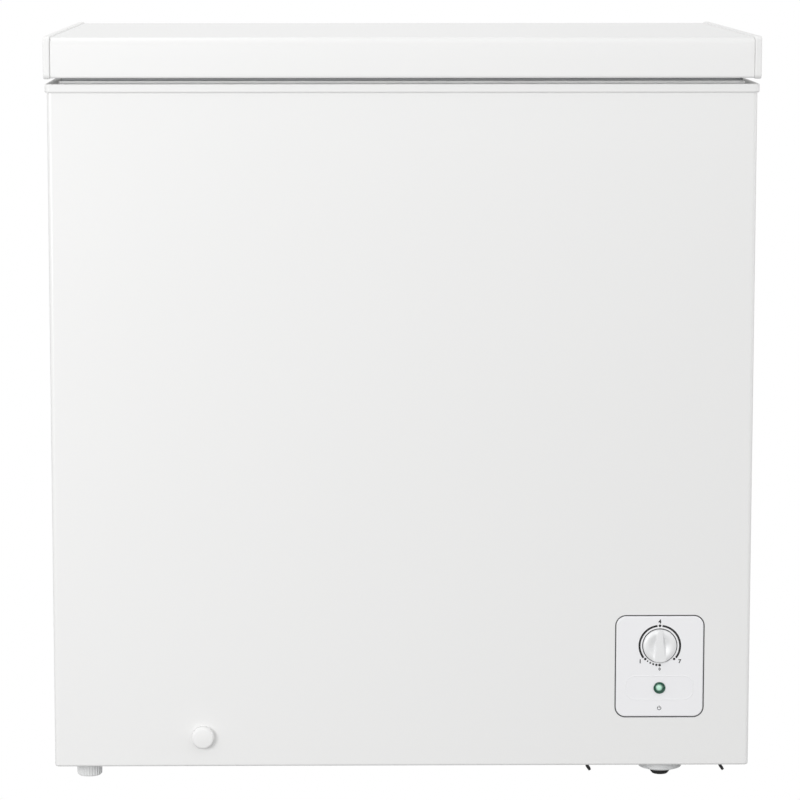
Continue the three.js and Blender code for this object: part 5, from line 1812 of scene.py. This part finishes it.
class FREEZER_OT_stage(FreezerStep):
    """Set the camera, the softboxes, the pale surroundings and the floor."""

    bl_idname = "freezer.stage"
    bl_label = "Stage"

    def execute(self, context):
        self.camera()
        self.lights()
        self.surroundings()
        self.floor()
        return {"FINISHED"}

    def camera(self):
        size = settings("stage")
        data = bpy.data.cameras.new("camera")
        data.sensor_width = 36
        data.lens = size.lens
        data.shift_x = size.slide
        data.clip_end = 100
        camera = bpy.data.objects.new("camera", data)
        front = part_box("cabinet_wrap")[0].y
        camera.location = (size.camera_across, front - size.camera_back, size.camera_up)
        turn = Matrix.Rotation(-size.turn, 3, "Z") @ Matrix.Rotation(math.pi / 2 - size.tilt, 3, "X")
        camera.rotation_euler = (turn @ Matrix.Rotation(size.level, 3, "Z")).to_euler()
        bpy.context.scene.collection.objects.link(camera)
        bpy.context.scene.camera = camera

    def softbox(self, name, place, aim, width, height, power):
        data = bpy.data.lights.new(name, "AREA")
        data.shape = "RECTANGLE"
        data.size = width
        data.size_y = height
        data.energy = power
        light = bpy.data.objects.new(name, data)
        light.location = place
        light.rotation_euler = (Vector(aim) - Vector(place)).to_track_quat("-Z", "Y").to_euler()
        light.visible_camera = False
        bpy.context.scene.collection.objects.link(light)

    def lights(self):
        size = settings("stage")
        middle = (0, -0.2, 0.45)
        self.softbox("key", (-1.6, -2.6, 0.7), (-0.2, -0.2, 0.4), 1.0, 0.8, size.key)
        self.softbox("fill", (0, -5.0, 1.0), (0, 0, 0.7), 3.2, 0.5, size.fill)
        self.softbox("top", (-0.5, 0.1, 2.0), (-0.1, 0, 0.85), 1.2, 0.6, size.top)
        self.softbox("back", (-0.6, 2.2, 2.2), (0, 0, 0.85), 2.0, 1.0, size.back)
        self.softbox("right", (2.4, -2.2, 1.2), middle, 1.2, 1.2, size.side)
        self.softbox("rim", (3.0, -0.35, 0.8), (0.4, -0.25, 0.5), 1.6, 1.6, size.rim)

    def surroundings(self):
        """White all round as seen, and a softer light from all round."""
        world = bpy.data.worlds.new("surroundings")
        world.use_nodes = True
        tree = world.node_tree
        tree.nodes.clear()
        seen = tree.nodes.new("ShaderNodeBackground")
        seen.inputs["Color"].default_value = (1, 1, 1, 1)
        lit = tree.nodes.new("ShaderNodeBackground")
        lit.inputs["Color"].default_value = (1, 1, 1, 1)
        lit.inputs["Strength"].default_value = settings("stage").ambient
        ray = tree.nodes.new("ShaderNodeLightPath")
        mix = tree.nodes.new("ShaderNodeMixShader")
        out = tree.nodes.new("ShaderNodeOutputWorld")
        tree.links.new(ray.outputs["Is Camera Ray"], mix.inputs[0])
        tree.links.new(lit.outputs[0], mix.inputs[1])
        tree.links.new(seen.outputs[0], mix.inputs[2])
        tree.links.new(mix.outputs[0], out.inputs["Surface"])
        bpy.context.scene.world = world
        bpy.context.scene.view_settings.view_transform = "Standard"

    def floor(self):
        """A lit white floor, bright enough that it shows no shadow, and softer in what it lights."""
        reach = 12
        floor = prism("floor", [(-reach, -reach), (reach, -reach), (reach, reach), (-reach, reach)], "z",
                      -0.02, -0.0002)
        material = bpy.data.materials.new("pale_floor")
        material.use_nodes = True
        tree = material.node_tree
        tree.nodes.clear()
        glow = tree.nodes.new("ShaderNodeEmission")
        glow.inputs["Color"].default_value = (1, 1, 1, 1)
        plain = tree.nodes.new("ShaderNodeEmission")
        plain.inputs["Strength"].default_value = settings("stage").bounce
        ray = tree.nodes.new("ShaderNodeLightPath")
        mix = tree.nodes.new("ShaderNodeMixShader")
        out = tree.nodes.new("ShaderNodeOutputMaterial")
        tree.links.new(ray.outputs["Is Camera Ray"], mix.inputs[0])
        tree.links.new(plain.outputs[0], mix.inputs[1])
        tree.links.new(glow.outputs[0], mix.inputs[2])
        tree.links.new(mix.outputs[0], out.inputs["Surface"])
        floor.data.materials.append(material)


# ---------------------------------------------------------------- panel and registration

OPERATORS = (
    FREEZER_OT_stage,
    FREEZER_OT_cabinet_wrap,
    FREEZER_OT_rim_trim,
    FREEZER_OT_tub,
    FREEZER_OT_control_panel,
    FREEZER_OT_dial_marks,
    FREEZER_OT_dial_knob,
    FREEZER_OT_lamp,
    FREEZER_OT_lid_skin,
    FREEZER_OT_lid_caps,
    FREEZER_OT_lid_inside,
    FREEZER_OT_hinges,
    FREEZER_OT_basket,
    FREEZER_OT_drain,
    FREEZER_OT_feet,
    FREEZER_OT_base,
    FREEZER_OT_machine,
    FREEZER_OT_covers,
    FREEZER_OT_inner_parts,
)


class FREEZER_PT_sidebar(bpy.types.Panel):
    """Lists the sizes and the steps of the freezer."""

    bl_idname = "FREEZER_PT_sidebar"
    bl_label = "Chest Freezer"
    bl_space_type = "VIEW_3D"
    bl_region_type = "UI"
    bl_category = "Freezer"

    def draw(self, context):
        for name, group in SETTINGS.items():
            box = self.layout.box()
            box.label(text=name.capitalize())
            for prop in group.__annotations__:
                box.prop(settings(name), prop)
        for operator in OPERATORS:
            self.layout.operator(operator.bl_idname)


def register():
    for name, group in SETTINGS.items():
        bpy.utils.register_class(group)
        setattr(bpy.types.Scene, "freezer_" + name, PointerProperty(type=group))
    for operator in (*OPERATORS, FREEZER_PT_sidebar):
        bpy.utils.register_class(operator)


def unregister():
    for operator in reversed((*OPERATORS, FREEZER_PT_sidebar)):
        bpy.utils.unregister_class(operator)
    for name, group in reversed(SETTINGS.items()):
        delattr(bpy.types.Scene, "freezer_" + name)
        bpy.utils.unregister_class(group)


def main():
    """Builds every piece."""
    register()
    for operator in OPERATORS:
        group, step = operator.bl_idname.split(".")
        getattr(getattr(bpy.ops, group), step)()


if __name__ == "__main__":
    main()
